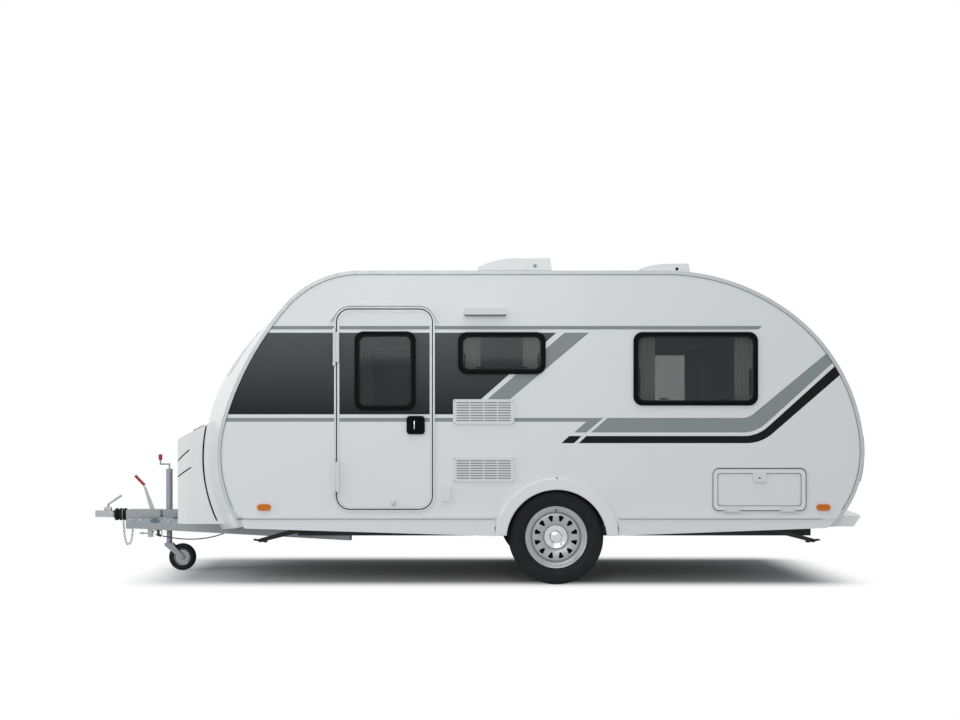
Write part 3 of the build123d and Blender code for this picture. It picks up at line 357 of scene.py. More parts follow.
def outline(corners):
    # a filled flat shape: a disc with as many corners, each moved to its place
    clearSelection()
    bpy.ops.mesh.primitive_circle_add(vertices=len(corners), fill_type="NGON")
    piece = bpy.context.object
    for corner, spot in zip(piece.data.vertices, corners):
        corner.co = spot
    return piece


def prism(corners, way):
    piece = outline(corners)
    editMesh(piece)
    pushOut(way)
    closeMesh()
    return piece


def joinPieces(pieces):
    clearSelection()
    for piece in pieces:
        piece.select_set(True)
    bpy.context.view_layer.objects.active = pieces[0]
    bpy.ops.object.join()
    return pieces[0]


def surfaceAt(node, start, way):
    # where a line of sight from start, in mm, meets a piece
    hit, spot, normal, _ = nodes[node].ray_cast(Vector(start) / 1000, Vector(way))
    if not hit:
        raise RuntimeError(node + " isn't met from " + str(start))
    return spot, normal


# Vinyl stripes on both side walls, in mm along the wall and up; on the door side each is cut at the openings
# listed below
film = {"proud": 0.25, "thick": 0.3, "wall": 1050, "trimDepth": 1052.7, "underTrim": 14, "cornerSteps": 8}


def trimEdge(height, start, way):
    # how far the film runs under the middle of the edge trim at that height, met from start along way
    spot, _ = surfaceAt("edge_trims", (start, -film["trimDepth"], height), (way, 0, 0))
    return spot.x * 1000 + way * film["underTrim"]


def trimFront(height):
    return trimEdge(height, -3000, 1)


def trimRear(height):
    return trimEdge(height, 4000, -1)


def frontCorners(low, high, steps):
    heights = [low + (high - low) * i / steps for i in range(steps + 1)]
    return [(trimFront(z), z) for z in heights]


def bend(points, radius):
    # the polyline's inner corners rounded with that radius
    done = [points[0]]
    for before, corner, after in zip(points, points[1:], points[2:]):
        a, b, c = (Vector(p) for p in (before, corner, after))
        inward, outward = (a - b).normalized(), (c - b).normalized()
        half = inward.angle(outward) / 2
        reach = radius / math.tan(half)
        middle = b + (inward + outward).normalized() * radius / math.sin(half)
        start, stop = b + inward * reach, b + outward * reach
        for i in range(film["cornerSteps"] + 1):
            spot = start.lerp(stop, i / film["cornerSteps"])
            done.append(tuple(middle + (spot - middle).normalized() * radius))
    done.append(points[-1])
    return done


stripes = {
    "upperLine": ("grey", frontCorners(1713, 1736, 2) + [(1980, 1736), (1956, 1713)]),
    "darkPanel": ("shade", frontCorners(1144, 1691, 14) + [(601, 1691), (96, 1245), (-19, 1144)]),
    "slantBand": ("grey", [(656, 1691), (820, 1691), (290, 1245), (139, 1245)]),
    "lowerLine": ("grey", frontCorners(1095, 1120, 2) + [(916, 1120), (802, 1023), (720, 1023), (802, 1095)]),
    "longBand": ("grey", [(833, 1023), (945, 1120)]
                 + bend([(945, 1120), (1889, 1120), (trimRear(1557) - 4, 1560)], 130)[1:]
                 + bend([(trimRear(1495) - 4, 1497), (1940, 1023), (833, 1023)], 230)[:-1]),
    "shortBlack": ("black", [(688, 999), (770, 999), (720, 951), (635, 951)]),
    "longBlack": ("black", [(751, 951), (802, 999)]
                  + bend([(802, 999), (1950, 999), (trimRear(1470) - 4, 1475)], 240)[1:]
                  + bend([(trimRear(1412) - 4, 1414), (1975, 951), (751, 951)], 260)[:-1]),
}
print("stripes laid out:", len(stripes))

vinyl = {}
for colourName, colours in {"grey": ("#959b9c", "#8f9596"), "black": ("#161919", "#121515")}.items():
    vinyl[colourName] = wornMaterial(colourName + "_cast_vinyl_film", colours, 400, (0.29, 0.36), (6, 0.015),
                                     IOR=1.5, Specular_IOR_Level=0.1)
# printed film that goes from mid grey at the top to near black below
sheetVinyl, tree, shader, place = newMaterial("graded_vinyl_film", IOR=1.5, Specular_IOR_Level=0.12)
wear(tree, shader, place, ("#5b5e5d", "#575a59"), 400, (0.29, 0.36), (6, 0.015))
height = addNode(tree, "ShaderNodeSeparateXYZ", {0: place})
share = addNode(tree, "ShaderNodeMapRange", {"Value": height.outputs["Z"], "From Min": 1.144,
                                             "From Max": 1.691})
paintBetween(tree, shader, share.outputs[0], ("#1e2222", "#555958"))
vinyl["shade"] = sheetVinyl


# Openings that the film stops at, on the door side only: x and z from and to, and corner radius, in mm
openings = {"door": (-884, -218, 495, 1866, 90), "kitchenWindow": (-57, 529, 1413, 1694, 80),
            "doorLeaf": (-868, -232, 511, 1846, 86), "doorGlass": (-750, -341, 1170, 1699, 80)}
cutDepth = 100
wallCuts = {-1: ("door", "kitchenWindow"), 1: ()}


def cutBox(spec, side):
    x0, x1, z0, z1, radius = spec
    clearSelection()
    middle = Vector(((x0 + x1) / 2, side * film["wall"], (z0 + z1) / 2)) / 1000
    bpy.ops.mesh.primitive_cube_add(size=1, location=middle)
    tool = bpy.context.object
    tool.scale = ((x1 - x0) / 1000, cutDepth / 1000, (z1 - z0) / 1000)
    bpy.ops.object.transform_apply(location=True, rotation=False, scale=True)
    editMesh(tool)
    bpy.ops.mesh.select_mode(type="EDGE")
    bpy.ops.mesh.select_all(action="DESELECT")
    bpy.ops.object.mode_set(mode="OBJECT")
    for edge in tool.data.edges:
        a, b = (tool.data.vertices[i].co for i in edge.vertices)
        edge.select = abs(a.y - b.y) > cutDepth / 2000
    bpy.ops.object.mode_set(mode="EDIT")
    bpy.ops.mesh.bevel(offset=radius / 1000, segments=8)
    bpy.ops.object.mode_set(mode="OBJECT")
    return tool


def layFilm(corners, side):
    face = side * (film["wall"] + film["proud"]) / 1000
    return prism([(x / 1000, face, z / 1000) for x, z in corners], (0, side * film["thick"] / 1000, 0))


for side, word in bothSides:
    tools = [cutBox(openings[opening], side) for opening in wallCuts[side]]
    for name, (colourName, corners) in stripes.items():
        piece = layFilm(corners, side)
        for tool in tools:
            cutWith(piece, tool)
        keepPiece(piece, name + word, vinyl[colourName], "caravan")
    for tool in tools:
        bpy.data.objects.remove(tool)
print("stripes laid on the walls")

# the same film on the door leaf, which moves with it
for name in ("upperLine", "darkPanel", "lowerLine"):
    colourName, corners = stripes[name]
    piece = layFilm(corners, -1)
    for opening, operation in (("doorLeaf", "INTERSECT"), ("doorGlass", "DIFFERENCE")):
        tool = cutBox(openings[opening], -1)
        cutWith(piece, tool, operation)
        bpy.data.objects.remove(tool)
    keepPiece(piece, name + "OnDoor", vinyl[colourName], "entrance_door")
print("stripes laid on the door")


# Shaping helpers: a block with softened edges, a turned piece, copies

def selectFaces(piece, chosen):
    # in edit mode after this, only the faces whose centre and normal pass the test are selected
    editMesh(piece)
    bpy.ops.mesh.select_mode(type="FACE")
    bpy.ops.mesh.select_all(action="DESELECT")
    bpy.ops.object.mode_set(mode="OBJECT")
    for face in piece.data.polygons:
        face.select = chosen(face.center, face.normal)
    bpy.ops.object.mode_set(mode="EDIT")


def softBlock(low, high, edge, segments=3):
    # low and high corners in mm
    clearSelection()
    middle = [(a + b) / 2000 for a, b in zip(low, high)]
    bpy.ops.mesh.primitive_cube_add(size=1, location=middle)
    piece = bpy.context.object
    piece.scale = [(b - a) / 1000 for a, b in zip(low, high)]
    bpy.ops.object.transform_apply(location=True, rotation=True, scale=True)
    applyModifier(piece, "BEVEL", width=edge / 1000, segments=segments, limit_method="NONE")
    bpy.ops.object.shade_smooth_by_angle(angle=math.radians(40))
    return piece


def hexPrism(radius, height, middle, edge):
    # a bolt's or nut's six sides, standing along Y, in mm
    clearSelection()
    bpy.ops.mesh.primitive_cylinder_add(vertices=6, radius=radius / 1000, depth=height / 1000,
                                        location=Vector(middle) / 1000, rotation=(math.pi / 2, 0, 0))
    piece = bpy.context.object
    bpy.ops.object.transform_apply(location=True, rotation=True, scale=True)
    applyModifier(piece, "BEVEL", width=edge / 1000, segments=2, limit_method="NONE")
    return piece


def turned(profile, axis, centre, steps=64):
    # profile of (radius, place along the axis) in mm, closed, spun once round the axis through centre
    across = {"X": lambda r, a: (a, 0, r), "Y": lambda r, a: (r, a, 0), "Z": lambda r, a: (r, 0, a)}[axis]
    line = {"X": (1, 0, 0), "Y": (0, 1, 0), "Z": (0, 0, 1)}[axis]
    middle = Vector(centre) / 1000
    piece = outline([middle + Vector(across(r, a)) / 1000 for r, a in profile])
    editMesh(piece)
    bpy.ops.mesh.delete(type="ONLY_FACE")
    bpy.ops.mesh.select_all(action="SELECT")
    bpy.ops.mesh.spin(steps=steps, angle=2 * math.pi, center=middle, axis=line)
    bpy.ops.mesh.select_all(action="SELECT")
    bpy.ops.mesh.remove_doubles(threshold=0.00002)
    bpy.ops.mesh.delete_loose()
    closeMesh()
    bpy.ops.object.shade_smooth_by_angle(angle=math.radians(32))
    return piece


def copyPiece(piece, turn, about, axis="Z"):
    # a copy with its own mesh, turned about a point, in degrees and mm
    choose(piece)
    bpy.ops.object.duplicate(linked=False)
    twin = bpy.context.object
    pivot = Matrix.Translation(Vector(about) / 1000)
    twin.data.transform(pivot @ Matrix.Rotation(math.radians(turn), 4, axis) @ pivot.inverted())
    return twin


# Road wheels: tyre with block tread, pressed rim with twelve holes, chrome middle with five nuts
wheel = {
    "centre": (603, -935, 317.5), "body": "wheel_door_side", "farBody": "wheel_far_side", "steps": 72,
    "sidewall": ((190.5, 71), (209, 71.5), (215, 78), (223, 81), (226, 85), (238, 92.5), (249, 95.6), (251, 97.2),
                 (256, 97.4), (258, 96), (276, 95.6), (290, 92.6), (292, 93.4), (297, 92), (304, 88), (309, 84),
                 (312.4, 78)),
    "tread": ((312.4, 52), (305, 50), (305, 43), (312.4, 41), (312.4, 6), (305, 4.5)),
    "treadFrom": 310.5, "blockGap": 1.6, "blockHeight": 4.9,
    "holes": 12, "holeIn": (108, 6), "holeOut": (146, 19), "holeRound": 4, "holeCut": (-80, 70), "rimSteps": 96,
    "nuts": 5, "nutCircle": 58, "nutRadius": 11.5, "nutHeight": 16, "nutOut": 51, "nutEdge": 2, "valveUp": 178,
}
rimProfile = ((33, -38), (81, -38), (88, -43), (104, -50), (152, -51), (160, -49), (164.5, -45), (166, -41),
              (168, -41), (170, -47), (173, -53), (180, -56), (188, -59), (195, -66), (202, -73), (206, -76),
              (208, -75.5), (208, -71.4), (190.2, -71.4), (190.2, 71.4), (208, 71.4), (208, 76), (204, 76),
              (186, 68), (185, -20), (178, -34), (168, -33), (160, -40), (152, -43.5), (104, -43.5), (88, -36),
              (81, -31.5), (33, -31.5))
tyreProfile = [(r, -y) for r, y in wheel["sidewall"] + wheel["tread"]]
tyreProfile += [(r, y) for r, y in reversed(wheel["sidewall"] + wheel["tread"])]
roadTyre = turned(tyreProfile, "Y", wheel["centre"], wheel["steps"])
hubSpot = Vector(wheel["centre"]) / 1000


def onTread(centre, normal):
    arm = centre - hubSpot
    return math.hypot(arm.x, arm.z) > wheel["treadFrom"] / 1000 and abs(normal.y) < 0.1


selectFaces(roadTyre, onTread)
bpy.ops.mesh.inset(thickness=wheel["blockGap"] / 1000, depth=wheel["blockHeight"] / 1000, use_individual=True)
bpy.ops.object.mode_set(mode="OBJECT")
print("tyre turned with its tread blocks:", len(roadTyre.data.polygons), "faces")

steelRim = turned(rimProfile, "Y", wheel["centre"], wheel["rimSteps"])
(innerR, innerHalf), (outerR, outerHalf) = wheel["holeIn"], wheel["holeOut"]
cutFrom, cutLength = wheel["holeCut"]
holeShape = bend([(0, innerR - 1), (innerHalf, innerR), (outerHalf, outerR - 3), (0, outerR + 3),
                  (-outerHalf, outerR - 3), (-innerHalf, innerR), (0, innerR - 1)], wheel["holeRound"])[1:-1]
holeTool = prism([hubSpot + Vector((x, cutFrom, z)) / 1000 for x, z in holeShape], (0, cutLength / 1000, 0))
for step in range(wheel["holes"]):
    tool = copyPiece(holeTool, turn=(step + 0.5) * 360 / wheel["holes"], about=wheel["centre"], axis="Y")
    cutWith(steelRim, tool)
    bpy.data.objects.remove(tool)
bpy.data.objects.remove(holeTool)
choose(steelRim)
bpy.ops.object.shade_smooth_by_angle(angle=math.radians(32))
print("rim pierced")

hubDisc = turned(((41, -38.3), (41, -43), (50, -44.5), (66, -45), (72, -47.5), (77, -47), (80, -43.5),
                  (80, -38.3)), "Y", wheel["centre"])
hubCap = turned(((0, -66), (27, -65.5), (36, -63), (39.5, -57), (40, -39), (33.5, -38.5), (33.5, -50), (0, -50)),
                "Y", wheel["centre"])
wheelX, wheelY, wheelZ = wheel["centre"]
nut = hexPrism(wheel["nutRadius"], wheel["nutHeight"],
               (wheelX, wheelY - wheel["nutOut"], wheelZ + wheel["nutCircle"]), wheel["nutEdge"])
nuts = [copyPiece(nut, turn=step * 360 / wheel["nuts"], about=wheel["centre"], axis="Y")
        for step in range(wheel["nuts"])]
bpy.data.objects.remove(nut)
wheelNuts = joinPieces(nuts)
valve = turned(((0, -66), (4.5, -65), (5, -58), (3.5, -57), (3.5, -42), (0, -42)), "Y",
               (wheelX, wheelY, wheelZ + wheel["valveUp"]), 16)
wheelSet = ((roadTyre, "roadTyre", tyreRubber, "tyre", "tyre_"),
            (steelRim, "steelRim", wheelEnamel, "wheel_silver", "rim_"),
            (hubDisc, "hubDisc", chrome, "chrome", None), (hubCap, "hubCap", chrome, "chrome", None),
            (wheelNuts, "wheelNuts", chrome, "chrome", None), (valve, "valve", softRubber, "rubber", None))
for piece, name, finish, slot, node in wheelSet:
    twin = copyPiece(piece, turn=180, about=(wheelX, 0, wheelZ))
    keepPiece(piece, name + "DoorSide", finish, wheel["body"])
    keepPiece(twin, name + "FarSide", finish, wheel["farBody"])
    if node:
        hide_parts(node + "door_side")
        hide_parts(node + "far_side")
print("road wheels on")


# Fastenings, made round the origin and stood on a surface

def seat(piece, spot, normal):
    # a piece made round the origin with its foot at y = 0 and its head towards -y, stood on a surface
    rise = Vector((0, 0, 1)) if abs(normal.z) < 0.95 else Vector((1, 0, 0))
    rise = (rise - normal * rise.dot(normal)).normalized()
    turn = Matrix((rise.cross(normal), -normal, rise)).transposed().to_4x4()
    sunk = 0.0002
    piece.data.transform(Matrix.Translation(spot - normal * sunk) @ turn)
    return piece


def roundHead(radius, height):
    return turned(((0, 0.5), (radius, 0.5), (radius, -0.35 * height), (0.72 * radius, -0.85 * height),
                   (0, -height)), "Y", (0, 0, 0), 20)


def hexBolt(radius, height):
    head = hexPrism(radius, height, (0, -height / 2 - 1.2, 0), 0.12 * radius)
    washer = turned(((0, 0.5), (1.45 * radius, 0.5), (1.45 * radius, -1.2), (1.3 * radius, -1.6), (0, -1.6)),
                    "Y", (0, 0, 0), 24)
    return joinPieces([washer, head])


# Vents: grey gauze behind the louvres, also darkening the slots as painted shade, and four screws each
vents = {"edges": ((-91, 319, 1079, 1245), (-91, 319, 693, 856)), "gauze": (-1055.6, -1055.05), "inset": (18, 13),
         "screw": (6, 2.5), "screwInset": 10}
gauzeAndSlotShade = wornMaterial("grey_polyester_gauze_and_painted_slot_shade", ("#9a9ea0", "#a3a7a9"), 8, (0.8, 0.9), (2, 0.2),
                        IOR=1.5, Specular_IOR_Level=0.2)
panels, screws = [], []
for x0, x1, z0, z1 in vents["edges"]:
    (front, back), (endInset, sideInset) = vents["gauze"], vents["inset"]
    panels.append(softBlock((x0 + endInset, front, z0 + sideInset), (x1 - endInset, back, z1 - sideInset), 0.2, 1))
    for x in (x0 + vents["screwInset"], x1 - vents["screwInset"]):
        for z in (z0 + vents["screwInset"], z1 - vents["screwInset"]):
            screws.append(seat(roundHead(*vents["screw"]), *surfaceAt("wall_fittings", (x, -1300, z), (0, 1, 0))))
keepPiece(joinPieces(panels), "ventGauzeAndSlotShade", gauzeAndSlotShade, "caravan")
keepPiece(joinPieces(screws), "ventScrews", zincPlate, "caravan")

# Awning lamp: a frosted lens under its hood, coloured dark grey as painted shade under the hood
awningLens = ((-14, -1090, 1802), (261, -1058, 1809.4), 2.5)
frostedPaintedShade = wornMaterial("frosted_polycarbonate_painted_shade", ("#5f6466", "#6a6f71"), 40, (0.35, 0.5), (3, 0.1), IOR=1.58)
keepPiece(softBlock(*awningLens), "awningLens", frostedPaintedShade, "caravan")
print("wall fittings dressed")

# Entrance door: paddle in the handle's cup with a chrome strip on it as a painted highlight, and the catch that
# holds it open
doorFittings = {"paddle": ((-357, -1064.6, 1034), (-325, -1059, 1110), 4),
                "paintedHighlight": ((-354, -1066, 1044), (-347, -1062, 1100), 1.5), "catch": (-491, -1050, 551)}
keepPiece(softBlock(*doorFittings["paddle"]), "handlePaddle", blackFrame, "entrance_door")
keepPiece(softBlock(*doorFittings["paintedHighlight"]), "paddlePaintedHighlight", chrome, "entrance_door")
catch = turned(((0, 0.4), (17, 0.4), (17, -5), (13, -9), (8, -10), (7, -20), (10, -22), (10, -26), (0, -27)),
               "Y", doorFittings["catch"], 32)
keepPiece(catch, "doorCatch", anodised, "entrance_door")

# Door: a rubber seal shows as a dark line between leaf and frame; hatch: a seal round its pocket, and its lock
doorSeal = {"edges": (-874.5, -225.5, 504.5, 1852.5), "corner": 92, "width": 6, "near": -1040, "far": -1049}
leafTrim = {"edges": (-867.6, -232.4, 511.4, 1845.6), "corner": 86, "width": 15, "near": -1049, "far": -1052.5}
hatchSeal = {"edges": (1681, 2243, 529, 750), "corner": 22, "width": 2.4, "near": -1045.5, "far": -1050.4}
hatchLock = {"from": (1962, -1300, 718), "radius": 6, "height": 1.6}


def roundedRing(edges, corner, width, near, far):
    # a ring along a rounded rectangle, in mm, standing from near to far in y
    x0, x1, z0, z1 = edges
    path = [(x0, (z0 + z1) / 2), (x0, z1), (x1, z1), (x1, z0), (x0, z0), (x0, (z0 + z1) / 2)]
    outer = bend(path, corner)[1:-1]
    piece = outline([(x / 1000, near / 1000, z / 1000) for x, z in outer])
    editMesh(piece)
    bpy.ops.mesh.inset(thickness=width / 1000, depth=0)
    bpy.ops.mesh.delete(type="FACE")
    bpy.ops.mesh.select_all(action="SELECT")
    pushOut((0, (far - near) / 1000, 0))
    closeMesh()
    bpy.ops.object.shade_smooth_by_angle(angle=math.radians(35))
    return piece


keepPiece(roundedRing(**doorSeal), "doorSeal", softRubber, "caravan")
keepPiece(roundedRing(**leafTrim), "leafTrim", silverLacquer, "entrance_door")
keepPiece(roundedRing(**hatchSeal), "hatchSeal", softRubber, "service_hatch")
lock = roundHead(hatchLock["radius"], hatchLock["height"])
lock = seat(lock, *surfaceAt("service_door_fittings", hatchLock["from"], (0, 1, 0)))
keepPiece(lock, "hatchLock", blackFrame, "service_hatch")
print("entrance door and hatch dressed")

# Windows: hinge rail along the top of each pane, glazing bead inside the frame, stays and catches behind it.
# Each has x from and to, z from and to, side and body.
windows = {
    "kitchen": (-57, 529, 1413, 1694, -1, "caravan"), "lounge": (1117, 1950, 1203, 1695, -1, "caravan"),
    "farFront": (-900, -67, 1203, 1695, 1, "caravan"), "farRear": (1117, 1950, 1203, 1695, 1, "caravan"),
    "door": (-750, -341, 1170, 1699, -1, "entrance_door"),
}
windowParts = {"bead": 9, "beadInset": 26, "beadSpan": (-6, 1.2), "corner": 50, "face": 1062,
               "rail": (2, 22), "railInset": 74, "railProud": 2, "railEdge": 1.8,
               "catch": (56, 12, 16), "catchShares": (0.25, 0.75), "catchUp": 40, "catchFace": 1026,
               "stayInset": 44, "stayHalf": 6, "stayUp": 70, "stayShare": 0.5, "staySpan": (1032, 1012), "edge": 4}
for name, (x0, x1, z0, z1, side, body) in windows.items():
    part = windowParts
    inset, face = part["beadInset"], side * part["face"]
    near, far = (face + side * reach for reach in part["beadSpan"])
    bead = roundedRing((x0 + inset, x1 - inset, z0 + inset, z1 - inset), part["corner"], part["bead"], near, far)
    keepPiece(bead, name + "GlazingBead", softRubber, body)
    (top, bottom), inset = part["rail"], part["railInset"]
    rail = softBlock((x0 + inset, face - part["railProud"], z1 - bottom),
                     (x1 - inset, face + part["railProud"], z1 - top), part["railEdge"])
    keepPiece(rail, name + "HingeRail", blackFrame, body)
    length, height, depth = part["catch"]
    handles = []
    for x in (x0 + (x1 - x0) * share for share in part["catchShares"]):
        near, far = sorted((side * part["catchFace"], side * (part["catchFace"] - depth)))
        handles.append(softBlock((x - length / 2, near, z0 + part["catchUp"]),
                                 (x + length / 2, far, z0 + part["catchUp"] + height), part["edge"]))
    for x in (x0 + part["stayInset"], x1 - part["stayInset"]):
        near, far = sorted(side * y for y in part["staySpan"])
        handles.append(softBlock((x - part["stayHalf"], near, z0 + part["stayUp"]),
                                 (x + part["stayHalf"], far, z0 + part["stayShare"] * (z1 - z0)), part["edge"]))
    keepPiece(joinPieces(handles), name + "Stays", blackFrame, body)
print("windows dressed")

# Wheel arch: a dark plug in the rounded top of each spat; skirt: a dark rubber strip under its rail as painted
# shadow of the rail
spatPlug = {"spot": (603, 1074, 714.8), "radius": 7, "height": 0.9}
railShadowStrip = {"z": (442.6, 446), "proud": (1049, 1066), "runs": ((-1540, 186), (1020, 2380)), "edge": 0.8}
for side, word in bothSides:
    x, y, z = spatPlug["spot"]
    plug = roundHead(spatPlug["radius"], spatPlug["height"])
    keepPiece(seat(plug, Vector((x, side * y, z)) / 1000, Vector((0, side, 0))), "spatPlug" + word, blackFrame,
              "caravan")
    strips = []
    (bottom, top), (near, far) = railShadowStrip["z"], sorted(side * y for y in railShadowStrip["proud"])
    for x0, x1 in railShadowStrip["runs"]:
        strips.append(softBlock((x0, near, bottom), (x1, far, top), railShadowStrip["edge"], 2))
    keepPiece(joinPieces(strips), "railShadowStrip" + word, softRubber, "caravan")
print("skirts and arches dressed")


# Curtains drawn back at both ends of each window, hung in five pleats from an aluminium rail
curtains = {"rim": 33, "width": 150, "plane": 1009, "pleat": 7.5, "pleats": 5, "columns": 60, "rows": 6,
            "thick": 0.8, "hem": 6, "head": 3, "rail": 14, "railInset": 14, "railTop": 12, "railEdge": 2}


def hangCurtain(start, end, low, high, side):
    clearSelection()
    bpy.ops.mesh.primitive_grid_add(x_subdivisions=curtains["columns"], y_subdivisions=curtains["rows"], size=2)
    cloth = bpy.context.object
    for spot in cloth.data.vertices:
        along, down = (spot.co.x + 1) / 2, (1 - spot.co.y) / 2
        sway = math.cos(2 * math.pi * curtains["pleats"] * along + 0.9 * down * math.sin(5 * along))
        depth = side * (curtains["plane"] + curtains["pleat"] * (0.75 + 0.25 * down) * sway)
        spot.co = ((start + (end - start) * along) / 1000, depth / 1000, (high - (high - low) * down) / 1000)
    top = [spot.co for spot in cloth.data.vertices[-curtains["columns"] - 1:]]
    width = sum((b - a).length for a, b in zip(top, top[1:]))
    applyModifier(cloth, "SOLIDIFY", thickness=curtains["thick"] / 1000, offset=0)
    editMesh(cloth)
    closeMesh()
    bpy.ops.object.shade_smooth()
    return cloth, width


for name, (x0, x1, z0, z1, side, body) in windows.items():
    if name == "door":
        continue
    near, far = sorted(side * (curtains["plane"] + k * curtains["rail"] / 2) for k in (-1, 1))
    rail = softBlock((x0 + curtains["railInset"], near, z1 - curtains["head"]),
                     (x1 - curtains["railInset"], far, z1 + curtains["railTop"]), curtains["railEdge"])
    keepPiece(rail, name + "CurtainRail", anodised, "caravan")
    low, high = z0 + curtains["hem"], z1 - curtains["head"]
    for word, start, end in (("Front", x0 + curtains["rim"], x0 + curtains["width"]),
                             ("Rear", x1 - curtains["width"], x1 - curtains["rim"])):
        cloth, width = hangCurtain(start, end, low, high, side)
        keepPiece(cloth, name + word + "Curtain", curtainCloth, "caravan")
        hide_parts("curtains")

# Cabin joinery behind the glass: tall cupboard on the far wall
cabin = {"cupboard": ((20, 700, 780), (1040, 1016, 1640)), "cupboardEdge": 6, "doors": 3, "doorGap": 4,
         "doorEdge": 4, "doorFrom": 1000, "doorBelow": 20, "doorSpan": (-14, 4)}
low, high = cabin["cupboard"]
cupboard = [softBlock(low, high, cabin["cupboardEdge"])]
bay = (high[0] - low[0]) / cabin["doors"]
for step in range(cabin["doors"]):
    start, end = low[0] + step * bay + cabin["doorGap"], low[0] + (step + 1) * bay - cabin["doorGap"]
    near, far = (low[1] + reach for reach in cabin["doorSpan"])
    cupboard.append(softBlock((start, near, cabin["doorFrom"]), (end, far, high[2] - cabin["doorBelow"]),
                              cabin["doorEdge"]))
keepPiece(joinPieces(cupboard), "farCupboard", walnut, "caravan")
print("cabin dressed")


# Gas locker: two hinge arms on top of the lid, two catches low on its front
locker = {"arm": ((-30, -15, -3), (56, 15, 9), 3), "armSpots": (-690, 690), "slope": -26.6, "armX": -1868,
          "catch": ((-24, -9, -15), (24, 3, 15), 5), "catchSpots": (-520, 520), "catchZ": 500}
arms = []
for y in locker["armSpots"]:
    arm = softBlock(*locker["arm"])
    spot, _ = surfaceAt("gas_locker_lid", (locker["armX"], y, 2000), (0, 0, -1))
    arm.data.transform(Matrix.Translation(spot) @ Matrix.Rotation(math.radians(locker["slope"]), 4, "Y"))
    arms.append(arm)
keepPiece(joinPieces(arms), "lockerHingeArms", blackFrame, "caravan")
catches = []
for y in locker["catchSpots"]:
    spot, normal = surfaceAt("gas_locker_lid", (-2400, y, locker["catchZ"]), (1, 0, 0))
    catches.append(seat(softBlock(*locker["catch"]), spot, normal))
keepPiece(joinPieces(catches), "lockerCatches", blackFrame, "caravan")
print("gas locker dressed")

# Drawbar: bolts through the nose and rails, a bare plate, brake rod with its bracket and two hooks below
drawbar = {"boltX": (-2480, -2400, -2180, -1990, -1800), "boltZ": 372, "bolt": (8, 7),
           "plate": (-2286, -900, 374), "plateSize": (38, 17), "plateSteps": 40, "plateThick": 1.5, "plateRim": 4,
           "plateSunk": 0.7, "rod": (-2420, -2330, 277, 5), "line": -44,
           "bracket": ((-2354, -64, 250), (-2320, -24, 330), 3), "hooks": (-2300, -2268), "hookZ": 283,
           "hookRing": (16.5, 3.6), "hookOpen": (-6, 280), "stem": ((-4, -48, 297), (4, -40, 330), 2)}
bolts = []
for x in drawbar["boltX"]:
    for side in (-1, 1):
        seen = surfaceAt("drawbar_beams", (x, side * 900, drawbar["boltZ"]), (0, -side, 0))
        bolts.append(seat(hexBolt(*drawbar["bolt"]), *seen))
keepPiece(joinPieces(bolts), "drawbarBolts", zincPlate, "caravan")
wide, tall = drawbar["plateSize"]
angles = [2 * math.pi * i / drawbar["plateSteps"] for i in range(drawbar["plateSteps"])]
plate = outline([(wide * math.cos(angle) / 1000, 0, tall * math.sin(angle) / 1000) for angle in angles])
editMesh(plate)
pushOut((0, -drawbar["plateThick"] / 1000, 0))
bpy.ops.mesh.inset(thickness=drawbar["plateRim"] / 1000, depth=0)
pushOut((0, drawbar["plateSunk"] / 1000, 0))
closeMesh()
bluePlate = wornMaterial("blue_anodised_aluminium", ("#5d7585", "#516877"), 20, (0.35, 0.45), (1.0, 0.01),
                         Metallic=0.6)
plate = seat(plate, *surfaceAt("drawbar_beams", drawbar["plate"], (0, 1, 0)))
keepPiece(plate, "barePlate", bluePlate, "caravan")
x0, x1, z, radius = drawbar["rod"]
rod = turned(((0, 0), (radius - 1.5, 0), (radius, 2), (radius, x1 - x0), (0, x1 - x0)), "X",
             (x0, drawbar["line"], z), 20)
nutOnRod = turned(((0, 18), (9, 18), (10, 20), (10, 26), (9, 28), (0, 28)), "X", (x0, drawbar["line"], z), 6)
bracket = softBlock(*drawbar["bracket"])
keepPiece(joinPieces([rod, nutOnRod, bracket]), "brakeRod", zincPlate, "caravan")
hooks = []
(ringRadius, wireRadius), (openX, openZ) = drawbar["hookRing"], drawbar["hookOpen"]
low, high, edge = drawbar["stem"]
for x in drawbar["hooks"]:
    clearSelection()
    bpy.ops.mesh.primitive_torus_add(location=Vector((x, drawbar["line"], drawbar["hookZ"])) / 1000,
                                     rotation=(math.pi / 2, 0, 0), major_radius=ringRadius / 1000,
                                     minor_radius=wireRadius / 1000, major_segments=28, minor_segments=10)
    ring = bpy.context.object
    bpy.ops.object.transform_apply(location=True, rotation=True, scale=True)
    selectFaces(ring, lambda centre, normal: centre.x < (x + openX) / 1000 and centre.z < openZ / 1000)
    bpy.ops.mesh.delete(type="FACE")
    bpy.ops.mesh.select_all(action="SELECT")
    bpy.ops.mesh.fill_holes(sides=0)
    bpy.ops.object.mode_set(mode="OBJECT")
    hooks += [ring, softBlock((x + low[0], *low[1:]), (x + high[0], *high[1:]), edge)]
keepPiece(joinPieces(hooks), "brakeHooks", zincPlate, "caravan")

# Coupling: the cast lug that carries the handle, and a bolt through the neck
coupling = {"lug": ((-2692, -17, 425), (-2634, 17, 472), 10, 4), "boltSpot": (-2632, 420), "bolt": (7, 5)}
lug = [softBlock(*coupling["lug"])]
x, z = coupling["boltSpot"]
for side in (-1, 1):
    lug.append(seat(hexBolt(*coupling["bolt"]), *surfaceAt("coupling_head", (x, side * 400, z), (0, -side, 0))))
keepPiece(joinPieces(lug), "couplingLug", zincPlate, "caravan")
print("drawbar dressed")

